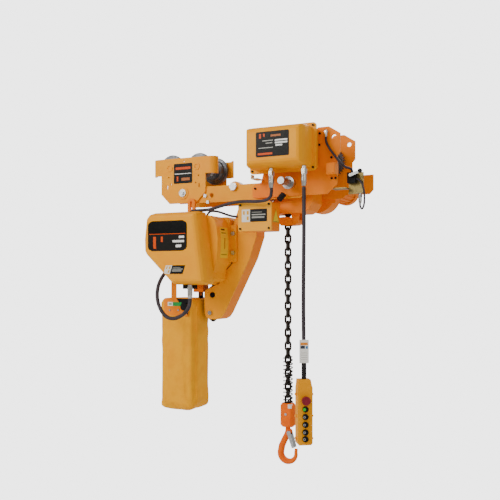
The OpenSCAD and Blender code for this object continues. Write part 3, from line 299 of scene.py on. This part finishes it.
def printed(name, ground, marks, rough=(0.28, 0.36)):
    """A printed label: plain bars (u0, v0, u1, v1, colour) on a ground, by the label's own UV map."""
    material, tree = blank(name)
    uv = add(tree, "UVMap").outputs[0]
    colour = mixed(tree, 0.0, srgb(ground), srgb(ground))
    for u0, v0, u1, v1, code in marks:
        centred = add(tree, "VectorMath", {0: uv, 1: ((u0 + u1) / 2, (v0 + v1) / 2, 0)},
                      operation="SUBTRACT").outputs[0]
        size = add(tree, "VectorMath", {0: centred}, operation="ABSOLUTE").outputs[0]
        share = add(tree, "VectorMath", {0: size, 1: ((u1 - u0) / 2, (v1 - v0) / 2, 1)},
                    operation="DIVIDE").outputs[0]
        xyz = add(tree, "SeparateXYZ", {0: share})
        far = add(tree, "Math", {0: xyz.outputs[0], 1: xyz.outputs[1]}, operation="MAXIMUM").outputs[0]
        inside = add(tree, "Math", {0: far, 1: 1.0}, operation="LESS_THAN").outputs[0]
        colour = mixed(tree, inside, colour, srgb(code))
    wear = ranged(tree, noise_of(tree, 5, 6.0), 0.6, 0.75, 0.0, 0.05)
    colour = mixed(tree, wear, colour, srgb("8C8C88"))
    roughness = ranged(tree, noise_of(tree, 12, 4.0), 0.3, 0.7, rough[0], rough[1])
    shader = add(tree, "BsdfPrincipled", {
        "Base Color": colour, "Roughness": roughness, "Specular IOR Level": FILM_SPECULAR})
    out = add(tree, "OutputMaterial")
    tree.links.new(shader.outputs[0], out.inputs[0])
    return material


# ---- Cables, which come before every other piece ----

def curve_through(points, steps=6):
    """Catmull-Rom curve through points in millimetres, as metres."""
    p = [Vector(q) for q in points]
    made = []
    for i in range(len(p) - 1):
        a, b, c, d = p[max(i - 1, 0)], p[i], p[i + 1], p[min(i + 2, len(p) - 1)]
        for k in range(steps):
            t = k / steps
            made.append(0.5 * (2 * b + (c - a) * t + (2 * a - 5 * b + 4 * c - d) * t * t
                               + (3 * b - a - 3 * c + d) * t * t * t))
    made.append(p[-1])
    return [q * MM for q in made]


def make_cable(name, points, radius_mm, body, material):
    """A round cable along a smooth route, riding on one body."""
    line = curve_through(points)
    data = bpy.data.curves.new(name, "CURVE")
    data.dimensions = "3D"
    data.bevel_depth = radius_mm * MM
    data.bevel_resolution = 6
    data.use_fill_caps = True
    spline = data.splines.new("POLY")
    spline.points.add(len(line) - 1)
    for point, place in zip(spline.points, line):
        point.co = (*place, 1.0)
    spline.use_smooth = True
    cable = bpy.data.objects.new(name, data)
    bpy.context.scene.collection.objects.link(cable)
    data.materials.append(material)
    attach(cable, body)
    return cable, line


# Radius in millimetres and route of each fixed cable
ROUTES = {
    "cover_cable": (7, [
        (22, -230, -60), (22, -230, -112), (10, -230, -132), (-14, -230, -140), (-50, -229, -141),
        (-110, -224, -138), (-170, -214, -140), (-230, -202, -150), (-290, -188, -160),
        (-340, -170, -161), (-382, -158, -160), (-414, -151, -164), (-432, -150, -182)]),
    "lid_cable": (5, [
        (-160, -156, -196), (-196, -156, -193), (-230, -150, -184), (-266, -140, -172),
        (-300, -132, -164), (-330, -128, -165), (-346, -126, -182)]),
    "loop_cable": (8.5, [
        (-372, -232, -540), (-374, -233, -585), (-392, -235, -615), (-420, -239, -636),
        (-452, -242, -646), (-486, -242, -640), (-516, -238, -616), (-540, -230, -580),
        (-554, -218, -540), (-558, -202, -500), (-552, -184, -464), (-540, -164, -434),
        (-528, -150, -406)]),
    "plate_cable": (5, [
        (222, -116, 138), (224, -116, 108), (240, -116, 76), (262, -116, 46), (284, -112, 18),
        (300, -98, 0), (312, -80, -4), (320, -69, -10), (321, -66, -22)]),
    "switch_loop": (4, [
        (354, -60, -140), (354, -60, -162), (362, -60, -175), (371, -60, -156), (372, -60, -112),
        (365, -62, -76), (353, -65, -55), (339, -66, -48)]),
}
for cable_name, (radius, route) in ROUTES.items():
    piece, line = make_cable(cable_name, route, radius, "frame", M["cable_rubber"])
    if cable_name == "cover_cable":
        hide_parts("wiring")

PENDANT_ROUTE = [
    (169, -230, -91), (169, -230, -150), (169, -230, -260), (168, -230, -380), (167, -230, -500),
    (167, -230, -610), (168, -230, -700), (169, -230, -812)]
piece, line = make_cable("control_cable", PENDANT_ROUTE, 8, "pendant", M["cable_rubber"])
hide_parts("pendant_cable")


# ---- Finishes of the CAD nodes ----

def finish_node(name, *materials):
    """Fills the material slots of a CAD node."""
    mesh = NODES[name].data
    mesh.materials.clear()
    for material in materials:
        mesh.materials.append(material)


def region(name, index, low, high):
    """Gives the faces of a node whose middles lie in a box, in millimetres, another of its materials."""
    low, high = Vector(low) * MM, Vector(high) * MM
    for face in NODES[name].data.polygons:
        c = face.center
        if all(low[i] <= c[i] <= high[i] for i in range(3)):
            face.material_index = index


for entry in frame["record"]["subparts"]:
    slot = entry["material_slot"]
    finish_node(entry["node"], M.get(slot, M["orange_paint"]))
for name in ("hook_block", "hook"):
    finish_node(name, M["hook_paint"], M["zinc_steel"])
# Ends of the block's pin
region("hook_block", 1, (-8, -40, -1080), (8, -27.2, -1060))
region("hook_block", 1, (-8, 27.2, -1080), (8, 40, -1060))
finish_node("brackets", M["orange_paint"], M["black_plastic"], M["cream_paint"], M["turned_steel"],
            M["olive_zinc"], M["black_rubber"])
# Knob of the bag's strap, cream angle, lever pin, switch angle and rubber stop
region("brackets", 1, (-478, -146, -616), (-440, -126.5, -578))
region("brackets", 2, (-105, -170, -37), (-73, -104, -16))
region("brackets", 3, (45, -37, -217), (55, 37, -207))
region("brackets", 4, (239, -98, -111), (367, -46, -19))
region("brackets", 5, (-20, -160, -160), (50, -106, -90))
finish_node("fasteners", M["zinc_steel"], M["black_plastic"])
# Blackened screws of the control box, the near plate and its edge
region("fasteners", 1, (-160, -210, -270), (210, -160, 190))
region("fasteners", 1, (185, -112, 35), (250, -100, 160))
region("fasteners", 1, (-118, -112, -76), (-106, -100, -64))
region("fasteners", 1, (238, -112, -54), (268, -100, -38))
finish_node("cable_glands", M["nickel_brass"], M["bare_brass"])
# Brass gland of the junction box
region("cable_glands", 1, (-180, -170, -210), (-148, -140, -180))
finish_node("axles_and_shafts", M["turned_steel"], M["greased_steel"], M["yellow_paint"])
# Painted ends of the idler trolley's wheel axles, then of the cross shafts
region("axles_and_shafts", 2, (-620, -200, 0), (-340, -103, 100))
region("axles_and_shafts", 2, (-620, 103, 0), (-340, 200, 100))
region("axles_and_shafts", 2, (-440, -110, -160), (-120, -66, -20))
region("axles_and_shafts", 2, (-440, 66, -160), (-120, 110, -20))
# Greased length of the long shaft, on the control side
region("axles_and_shafts", 1, (45, -226, -80), (85, -152, -38))
finish_node("pendant_case", M["pendant_plastic"], M["black_rubber"], M["white_card"])
# Card tag and rubber boot
region("pendant_case", 2, (140, -260, -813), (200, -200, -716))
region("pendant_case", 1, (157.5, -242, -886), (180.5, -218, -810))
finish_node("start_button", M["black_plastic"])
finish_node("switch_lever", M["zinc_steel"], M["black_plastic"])
# Roller of the lever
region("switch_lever", 1, (354, -106, -33), (378, -96, -8))
finish_node("sheave_pins", M["turned_steel"], M["black_plastic"])
# Blackened pin of the lower sheave
region("sheave_pins", 1, (-376, -48, -558), (-348, 48, -530))


# ---- Pieces that the CAD leaves plain ----

def mesh_piece(name, verts, faces, material, body):
    """A closed mesh piece that rides on one body."""
    data = bpy.data.meshes.new(name)
    data.from_pydata([tuple(v) for v in verts], [], faces)
    data.update()
    piece = bpy.data.objects.new(name, data)
    bpy.context.scene.collection.objects.link(piece)
    data.materials.append(material)
    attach(piece, body)
    return piece


def tree_of(*names):
    """One search tree over the CAD surfaces that a label is laid on."""
    verts, polys = [], []
    for name in names:
        mesh = NODES[name].data
        start = len(verts)
        verts += [v.co.copy() for v in mesh.vertices]
        polys += [[start + i for i in p.vertices] for p in mesh.polygons]
    return BVHTree.FromPolygons(verts, polys)


# Film of a label in metres: where its rays start, how far they reach, how it stands off, its thickness
FILM_GRID = (24, 16)
FILM_START = 0.06
FILM_REACH = 0.3
FILM_LIFT = 0.0006
FILM_THICK = 0.0004


def label(name, nodes, origin, right, up, size, material, body, radius=0.0, lean=0):
    """A thin printed film laid on the CAD surface: right and up are its axes, seen from outside."""
    origin = Vector(origin) * MM
    right, up = Vector(right).normalized(), Vector(up).normalized()
    out = right.cross(up)
    w, h = size[0] * MM, size[1] * MM
    across, along = FILM_GRID
    tree = tree_of(*nodes)
    data = bpy.data.meshes.new(name)
    grid = bmesh.new()
    layer = grid.loops.layers.uv.new("UVMap")
    rows = []
    for j in range(along + 1):
        row = []
        for i in range(across + 1):
            u, v = i / across, j / along
            x, y = (u - 0.5) * w, (v - 0.5) * h
            r = min(radius * MM, w / 2, h / 2)
            if r > 0:
                edge_x = w / 2 - r
                over = max(abs(y) - (h / 2 - r), 0.0)
                limit = edge_x + math.sqrt(max(r * r - over * over, 0.0))
                x = x * limit / (w / 2)
            x += lean * MM * (v - 0.5)
            start = origin + right * x + up * y + out * FILM_START
            hit = tree.ray_cast(start, -out, FILM_REACH)
            place = hit[0] if hit[0] is not None else origin + right * x + up * y
            row.append((grid.verts.new(place + out * FILM_LIFT), (u, v)))
        rows.append(row)
    for j in range(along):
        for i in range(across):
            corners = [rows[j][i], rows[j][i + 1], rows[j + 1][i + 1], rows[j + 1][i]]
            face = grid.faces.new([c[0] for c in corners])
            for loop, corner in zip(face.loops, corners):
                loop[layer].uv = corner[1]
    grid.to_mesh(data)
    grid.free()
    piece = bpy.data.objects.new(name, data)
    bpy.context.scene.collection.objects.link(piece)
    data.materials.append(material)
    thick = piece.modifiers.new("film", "SOLIDIFY")
    thick.thickness = FILM_THICK
    thick.offset = -1
    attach(piece, body)
    return piece


WHITE, RUST, INK, GOLD = "FFFFFF", "E0500A", "060708", "E0A020"
PALE, COPPER, ASH = "B9B9B4", "B56A3C", "C4C4C0"
display = printed("display_film", INK, [
    (0.00, 0.00, 1.00, 0.56, "1C1B1A"), (0.04, 0.555, 0.96, 0.575, RUST),
    (0.14, 0.08, 0.21, 0.48, RUST), (0.34, 0.30, 0.39, 0.48, RUST),
    (0.80, 0.42, 0.93, 0.49, WHITE), (0.64, 0.28, 0.93, 0.35, WHITE), (0.72, 0.12, 0.86, 0.20, WHITE)])
label("display_panel", ["front_cover"], (-467, -300, -278), (1, 0, 0), (0, 0, 1), (204, 134), display,
      "frame", radius=22)
chart = printed("chart_film", "1A1B1D", [
    (0.0, 0.0, 0.33, 1.0, "EDEBE4"), (0.05, 0.58, 0.12, 0.88, GOLD), (0.20, 0.58, 0.28, 0.88, GOLD),
    (0.20, 0.14, 0.28, 0.44, GOLD), (0.40, 0.72, 0.80, 0.78, "8C8C88"), (0.40, 0.52, 0.94, 0.60, "B6B6B0"),
    (0.40, 0.28, 0.90, 0.42, "9C9C98")])
label("chin_label", ["front_cover"], (-430, -300, -428), (1, 0, 0), (0, 0, 1), (100, 38), chart,
      "frame", lean=14)
label("lid_label", ["junction_lid"], (-72, -230, -197), (1, 0, 0), (0, 0, 1), (120, 54), chart,
      "frame")
control = printed("control_film", INK, [
    (0.10, 0.74, 0.16, 0.92, RUST), (0.22, 0.80, 0.27, 0.92, RUST), (0.45, 0.78, 0.75, 0.86, COPPER),
    (0.58, 0.60, 0.95, 0.66, WHITE), (0.58, 0.50, 0.95, 0.56, WHITE), (0.60, 0.40, 0.80, 0.46, WHITE),
    (0.20, 0.62, 0.52, 0.65, PALE), (0.30, 0.52, 0.50, 0.55, PALE),
    (0.08, 0.34, 0.52, 0.37, PALE), (0.06, 0.08, 0.50, 0.16, RUST)])
label("control_label", ["control_box_cover"], (53, -310, 85), (1, 0, 0), (0, 0, 1), (149, 104), control,
      "frame", radius=3)
rating = printed("rating_film", INK, [
    (0.10, 0.70, 0.90, 0.82, RUST), (0.04, 0.47, 0.96, 0.50, WHITE), (0.16, 0.12, 0.24, 0.36, RUST),
    (0.42, 0.14, 0.86, 0.28, COPPER)])
label("rating_plate", ["idler_plate_near"], (-486, -130, 22), (1, 0, 0), (0, 0, 1), (100, 93), rating,
      "frame", radius=2)
notice = printed("notice_film", "F6CE1C", [
    (0.12, 0.90, 0.60, 0.95, "3A3420"), (0.12, 0.80, 0.70, 0.83, "6A6030"),
    (0.10, 0.10, 0.85, 0.12, "6A6030"), (0.44, 0.30, 0.56, 0.66, "B5792A")])
label("side_notice", ["gear_case", "motor_housing", "front_cover"], (-260, -112, -306), (0, 1, 0),
      (0, 0, 1), (72, 138), notice, "frame")
sticker = printed("sticker_film", "2E9E4E", [
    (0.0, 0.0, 0.38, 1.0, "F4F4F0"), (0.08, 0.3, 0.3, 0.7, "5AA86C")])
label("bag_sticker", ["brackets"], (-518, -160, -586), (1, 0, 0), (0, 0, 1), (74, 18), sticker,
      "frame")
plain = printed("plain_sticker_film", "F3F3F1", [
    (0.15, 0.65, 0.85, 0.75, "C9C9C5"), (0.15, 0.3, 0.7, 0.38, "C9C9C5")])
label("block_sticker", ["hook_block"], (19, -60, -1036), (1, 0, 0), (0, 0, 1), (16, 18), plain,
      "hook_block")
tag_print = printed("tag_print", "F4F4F2", [
    (0.06, 0.78, 0.94, 0.90, "E08A34"), (0.06, 0.62, 0.60, 0.76, "3C4250"),
    (0.68, 0.62, 0.94, 0.74, "3C78B0"), (0.14, 0.42, 0.86, 0.45, ASH), (0.14, 0.32, 0.86, 0.35, ASH),
    (0.14, 0.22, 0.86, 0.25, ASH), (0.14, 0.12, 0.86, 0.15, ASH)])
# The pendant hangs turned by this angle, so its films do too
PENDANT_TURN = math.radians(26)
across_pendant = (math.cos(PENDANT_TURN), math.sin(PENDANT_TURN), 0)
green_dot = printed("green_dot_film", "3FBF3A", [])
grey_ring = printed("grey_mark_film", "8E9094", [(0.32, 0.32, 0.68, 0.68, "141416")])
for node, z, film, size in (("start_button", -998, green_dot, 13), ("up_button", -1029, grey_ring, 11),
                            ("down_button", -1060.5, grey_ring, 11), ("left_button", -1091.6, grey_ring, 11),
                            ("right_button", -1119, grey_ring, 11)):
    label(node + "_mark", [node], (182.6, -257.9, z), across_pendant, (0, 0, 1), (size, size), film,
          node, radius=size / 2)
label("tag_face", ["pendant_case"], (173.4, -239, -764.5), across_pendant, (0, 0, 1), (35, 91),
      tag_print, "pendant")


def triangle_sign():
    """Plain raised triangle on the junction box's right face: yellow film with a grey rim, no mark."""
    face_x, middle_y, foot_z = 8.0, -152, -226
    rim_half, field_half = 33, 27
    for name, half, lift, code in (("triangle_rim", rim_half, 0.5, "B9A032"),
                                   ("triangle_field", field_half, 0.9, "F3D62A")):
        film = printed(name + "_film", code, [])
        foot = foot_z + (rim_half - half) * 0.9
        ring = [(middle_y - half, foot), (middle_y + half, foot), (middle_y, foot + half * 1.75)]
        verts = [Vector((x, y, z)) * MM for x in (face_x, face_x + lift) for y, z in ring]
        faces = [(3, 4, 5), (0, 2, 1), (0, 1, 4, 3), (1, 2, 5, 4), (2, 0, 3, 5)]
        mesh_piece(name, verts, faces, film, "frame")


triangle_sign()


# ---- Chain bag ----

# How square the bag is in plan: higher is squarer
BAG_SQUARENESS = 13.0
# The farthest a point of the cloth may bulge, and the voxels it is made from
BAG_BULGE = 0.005
BAG_VOXEL = 0.006
# Thickness of the cloth, and how long the cloth pass runs
BAG_CLOTH = 0.0014
CLOTH_FRAMES = 20
# Room left inside the CAD bag on each side, at its foot and at its top
BAG_GAP_X, BAG_GAP_Y, BAG_GAP_FOOT, BAG_GAP_TOP = 0.002, 0.003, 0.002, 0.004
# Shares of the height in which the foot and the top round over, and in which the top slopes back
ROUND_FOOT, ROUND_TOP, SLOPE = 0.045, 0.02, 0.045
# Mouth that lets the slack chain in: depth below the top, reach to the left, half width
MOUTH_DEPTH, MOUTH_LEFT, MOUTH_HALF = 0.012, 0.01, 0.034


def bag_shape(steps_up=44, around=88):
    """A closed upright form, square in plan, that rounds into its foot and top."""
    lo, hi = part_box("chain_bag")
    cx, cy = (lo.x + hi.x) / 2, (lo.y + hi.y) / 2
    hx, hy = (hi.x - lo.x) / 2 - BAG_GAP_X, (hi.y - lo.y) / 2 - BAG_GAP_Y
    z0, z1 = lo.z + BAG_GAP_FOOT, hi.z - BAG_GAP_TOP
    rings = []
    for j in range(steps_up + 1):
        t = j / steps_up
        z = z0 + (z1 - z0) * t
        foot = min(t / ROUND_FOOT, 1.0)
        head = min((1 - t) / ROUND_TOP, 1.0)
        grow = math.sqrt(max(1 - (1 - foot) ** 2, 0.0)) * 0.12 + 0.88
        top = math.sqrt(max(1 - (1 - head) ** 2, 0.0)) * 0.05 + 0.95
        slope = max(t - (1 - SLOPE), 0.0) / SLOPE
        ring = []
        for i in range(around):
            a = math.tau * i / around
            c, s = math.cos(a), math.sin(a)
            reach = (abs(c) ** BAG_SQUARENESS + abs(s) ** BAG_SQUARENESS) ** (-1 / BAG_SQUARENESS)
            x = cx + hx * grow * top * c * reach
            y = cy + hy * grow * top * s * reach
            if x < cx:
                x += (cx - x) * 0.18 * slope
            ring.append(Vector((x, y, z)))
        rings.append(ring)
    verts = [v for ring in rings for v in ring]
    faces = []
    for j in range(steps_up):
        for i in range(around):
            k = (i + 1) % around
            faces.append((j * around + i, j * around + k, (j + 1) * around + k, (j + 1) * around + i))
    faces.append(tuple(reversed(range(around))))
    faces.append(tuple(steps_up * around + i for i in range(around)))
    return verts, faces, (cx, cy, z0, z1)


def apply_all(piece):
    """Replaces a piece's mesh by what its modifiers make of it."""
    bpy.context.view_layer.update()
    graph = bpy.context.evaluated_depsgraph_get()
    mesh = bpy.data.meshes.new_from_object(piece.evaluated_get(graph))
    piece.modifiers.clear()
    piece.data = mesh


def make_bag():
    """The bag: a square form in voxels, filled out by a short cloth pass, with its mouth cut open."""
    verts, faces, (cx, cy, z0, z1) = bag_shape()
    data = bpy.data.meshes.new("chain_bag_cloth")
    data.from_pydata([tuple(v) for v in verts], [], faces)
    data.update()
    bag = bpy.data.objects.new("chain_bag_cloth", data)
    bpy.context.scene.collection.objects.link(bag)
    remesh = bag.modifiers.new("remesh", "REMESH")
    remesh.mode = "VOXEL"
    remesh.voxel_size = BAG_VOXEL
    apply_all(bag)
    start = [v.co.copy() for v in bag.data.vertices]
    cloth = bag.modifiers.new("cloth", "CLOTH")
    cloth.settings.quality = 6
    cloth.settings.mass = 0.3
    cloth.settings.tension_stiffness = 12
    cloth.settings.compression_stiffness = 6
    cloth.settings.bending_stiffness = 0.4
    cloth.settings.use_pressure = True
    cloth.settings.uniform_pressure_force = 4
    cloth.settings.effector_weights.gravity = 0
    cloth.collision_settings.use_self_collision = False
    cloth.point_cache.frame_start = 1
    cloth.point_cache.frame_end = CLOTH_FRAMES
    for number in range(1, CLOTH_FRAMES + 1):
        bpy.context.scene.frame_set(number)
    apply_all(bag)
    bpy.context.scene.frame_set(1)
    for vertex, home in zip(bag.data.vertices, start):
        move = vertex.co - home
        if move.length > BAG_BULGE:
            move = move.normalized() * BAG_BULGE
        # The cloth is held in at its top by the strap and hangs fuller lower down
        share = min(max((z1 - home.z) / 0.09, 0.0), 1.0)
        height = (home.z - z0) / (z1 - z0)
        upright = math.sin(21 * height + 3 * math.sin(9 * height))
        sideways = math.sin(46 * (home.x - cx) + 5 * height)
        ripple = 0.0016 * upright * sideways * share
        out = Vector((home.x - cx, home.y - cy, 0)).normalized()
        vertex.co = home + move * (0.15 + 0.85 * share) + out * ripple
    smooth = bag.modifiers.new("relax", "SMOOTH")
    smooth.factor = 0.5
    smooth.iterations = 3
    apply_all(bag)
    mesh = bmesh.new()
    mesh.from_mesh(bag.data)
    mouth = [f for f in mesh.faces if f.calc_center_median().z > z1 - MOUTH_DEPTH and f.normal.z > 0.7
             and f.calc_center_median().x > cx - MOUTH_LEFT and abs(f.calc_center_median().y) < MOUTH_HALF]
    bmesh.ops.delete(mesh, geom=mouth, context="FACES")
    mesh.to_mesh(bag.data)
    mesh.free()
    thick = bag.modifiers.new("cloth_thickness", "SOLIDIFY")
    thick.thickness = BAG_CLOTH
    thick.offset = -1
    fine = bag.modifiers.new("subdivide", "SUBSURF")
    fine.levels = 1
    fine.render_levels = 1
    for face in bag.data.polygons:
        face.use_smooth = True
    bag.data.materials.clear()
    bag.data.materials.append(M["bag_cloth"])
    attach(bag, "frame")
    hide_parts("chain_bag")
    return bag


BAG = make_bag()


SEAM_RADIUS = 0.0024


def bag_seams():
    """Folded seams that stand a little off the bag at its upright corners."""
    tree = BVHTree.FromObject(BAG, bpy.context.evaluated_depsgraph_get())
    lo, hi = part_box("chain_bag")
    cx, cy = (lo.x + hi.x) / 2, (lo.y + hi.y) / 2
    lines = []
    for side, back in ((1, -1), (1, 1), (-1, -1), (-1, 1)):
        column = []
        for k in range(40):
            z = lo.z + 0.03 + (hi.z - lo.z - 0.07) * k / 39
            start = Vector((cx + side * 0.2, cy + back * 0.13, z))
            aim = Vector((cx + side * 0.02, cy, z)) - start
            hit = tree.ray_cast(start, aim.normalized(), 1.0)
            if hit[0] is not None:
                column.append(hit[0] + Vector((side, back, 0)).normalized() * 0.0002)
        lines.append(column)
    for index, column in enumerate(lines):
        data = bpy.data.curves.new(f"bag_seam_{index}", "CURVE")
        data.dimensions = "3D"
        data.bevel_depth = SEAM_RADIUS
        data.bevel_resolution = 2
        spline = data.splines.new("POLY")
        spline.points.add(len(column) - 1)
        for point, place in zip(spline.points, column):
            point.co = (*place, 1.0)
        seam = bpy.data.objects.new(f"bag_seam_{index}", data)
        bpy.context.scene.collection.objects.link(seam)
        data.materials.append(M["bag_cloth"])
        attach(seam, "frame")


bag_seams()


# ---- Stage and light ----

# Brightness of the backdrop and floor as seen, the soft light all round, and the floor's drop and half side
BACKDROP = 3.6
SOFT_LIGHT = 0.5
FLOOR_DROP = 0.45
FLOOR_HALF = 40.0
# Name, place, aim, watts and width in metres of each lamp
LAMPS = (
    ("key", (-1.9, -3.4, 1.5), (-0.2, 0, -0.4), 110, 1.8),
    ("fill", (2.6, -2.2, 0.6), (0.1, 0, -0.4), 14, 2.2),
    ("rim", (0.6, 2.8, 1.6), (0, 0, -0.3), 60, 1.6))


def pale_floor():
    """Seamless paper: a matt pale sheet that meets the backdrop with no line."""
    material, tree = blank("studio_paper")
    tone = ranged(tree, noise_of(tree, 900), 0.3, 0.7, 0.0, 1.0)
    paper = add(tree, "BsdfDiffuse", {"Color": mixed(tree, tone, srgb("F4F4F4"), srgb("EFEFEF"))})
    glow = add(tree, "Emission", {"Color": (1, 1, 1, 1), "Strength": BACKDROP})
    path = add(tree, "LightPath")
    both = add(tree, "MixShader", {
        0: path.outputs["Is Camera Ray"], 1: paper.outputs[0], 2: glow.outputs[0]})
    out = add(tree, "OutputMaterial")
    tree.links.new(both.outputs[0], out.inputs[0])
    return material


def make_stage():
    """Pale floor under the hook, soft light all round and three wide lamps."""
    data = bpy.data.meshes.new("floor")
    corners = [(-1, -1), (1, -1), (1, 1), (-1, 1)]
    data.from_pydata([(x * FLOOR_HALF, y * FLOOR_HALF, 0) for x, y in corners], [], [(0, 1, 2, 3)])
    floor = bpy.data.objects.new("floor", data)
    bpy.context.scene.collection.objects.link(floor)
    floor.location = (0, 0, CAD_BOX[0][2] - FLOOR_DROP)
    data.materials.append(pale_floor())
    world = bpy.data.worlds.new("studio")
    bpy.context.scene.world = world
    world.use_nodes = True
    tree = world.node_tree
    tree.nodes.clear()
    seen = add(tree, "Background", {"Color": (1, 1, 1, 1), "Strength": BACKDROP})
    soft = add(tree, "Background", {"Color": (1, 0.96, 0.88, 1), "Strength": SOFT_LIGHT})
    path = add(tree, "LightPath")
    both = add(tree, "MixShader", {0: path.outputs["Is Camera Ray"], 1: soft.outputs[0], 2: seen.outputs[0]})
    out = add(tree, "OutputWorld")
    tree.links.new(both.outputs[0], out.inputs[0])
    for name, place, aim, power, width in LAMPS:
        lamp = bpy.data.lights.new(name, "AREA")
        lamp.energy = power
        lamp.size = width
        lamp.color = (1, 0.97, 0.9)
        light = bpy.data.objects.new(name, lamp)
        bpy.context.scene.collection.objects.link(light)
        light.location = place
        light.rotation_mode = "QUATERNION"
        light.rotation_quaternion = (Vector(aim) - Vector(place)).to_track_quat("-Z", "Y")


make_stage()
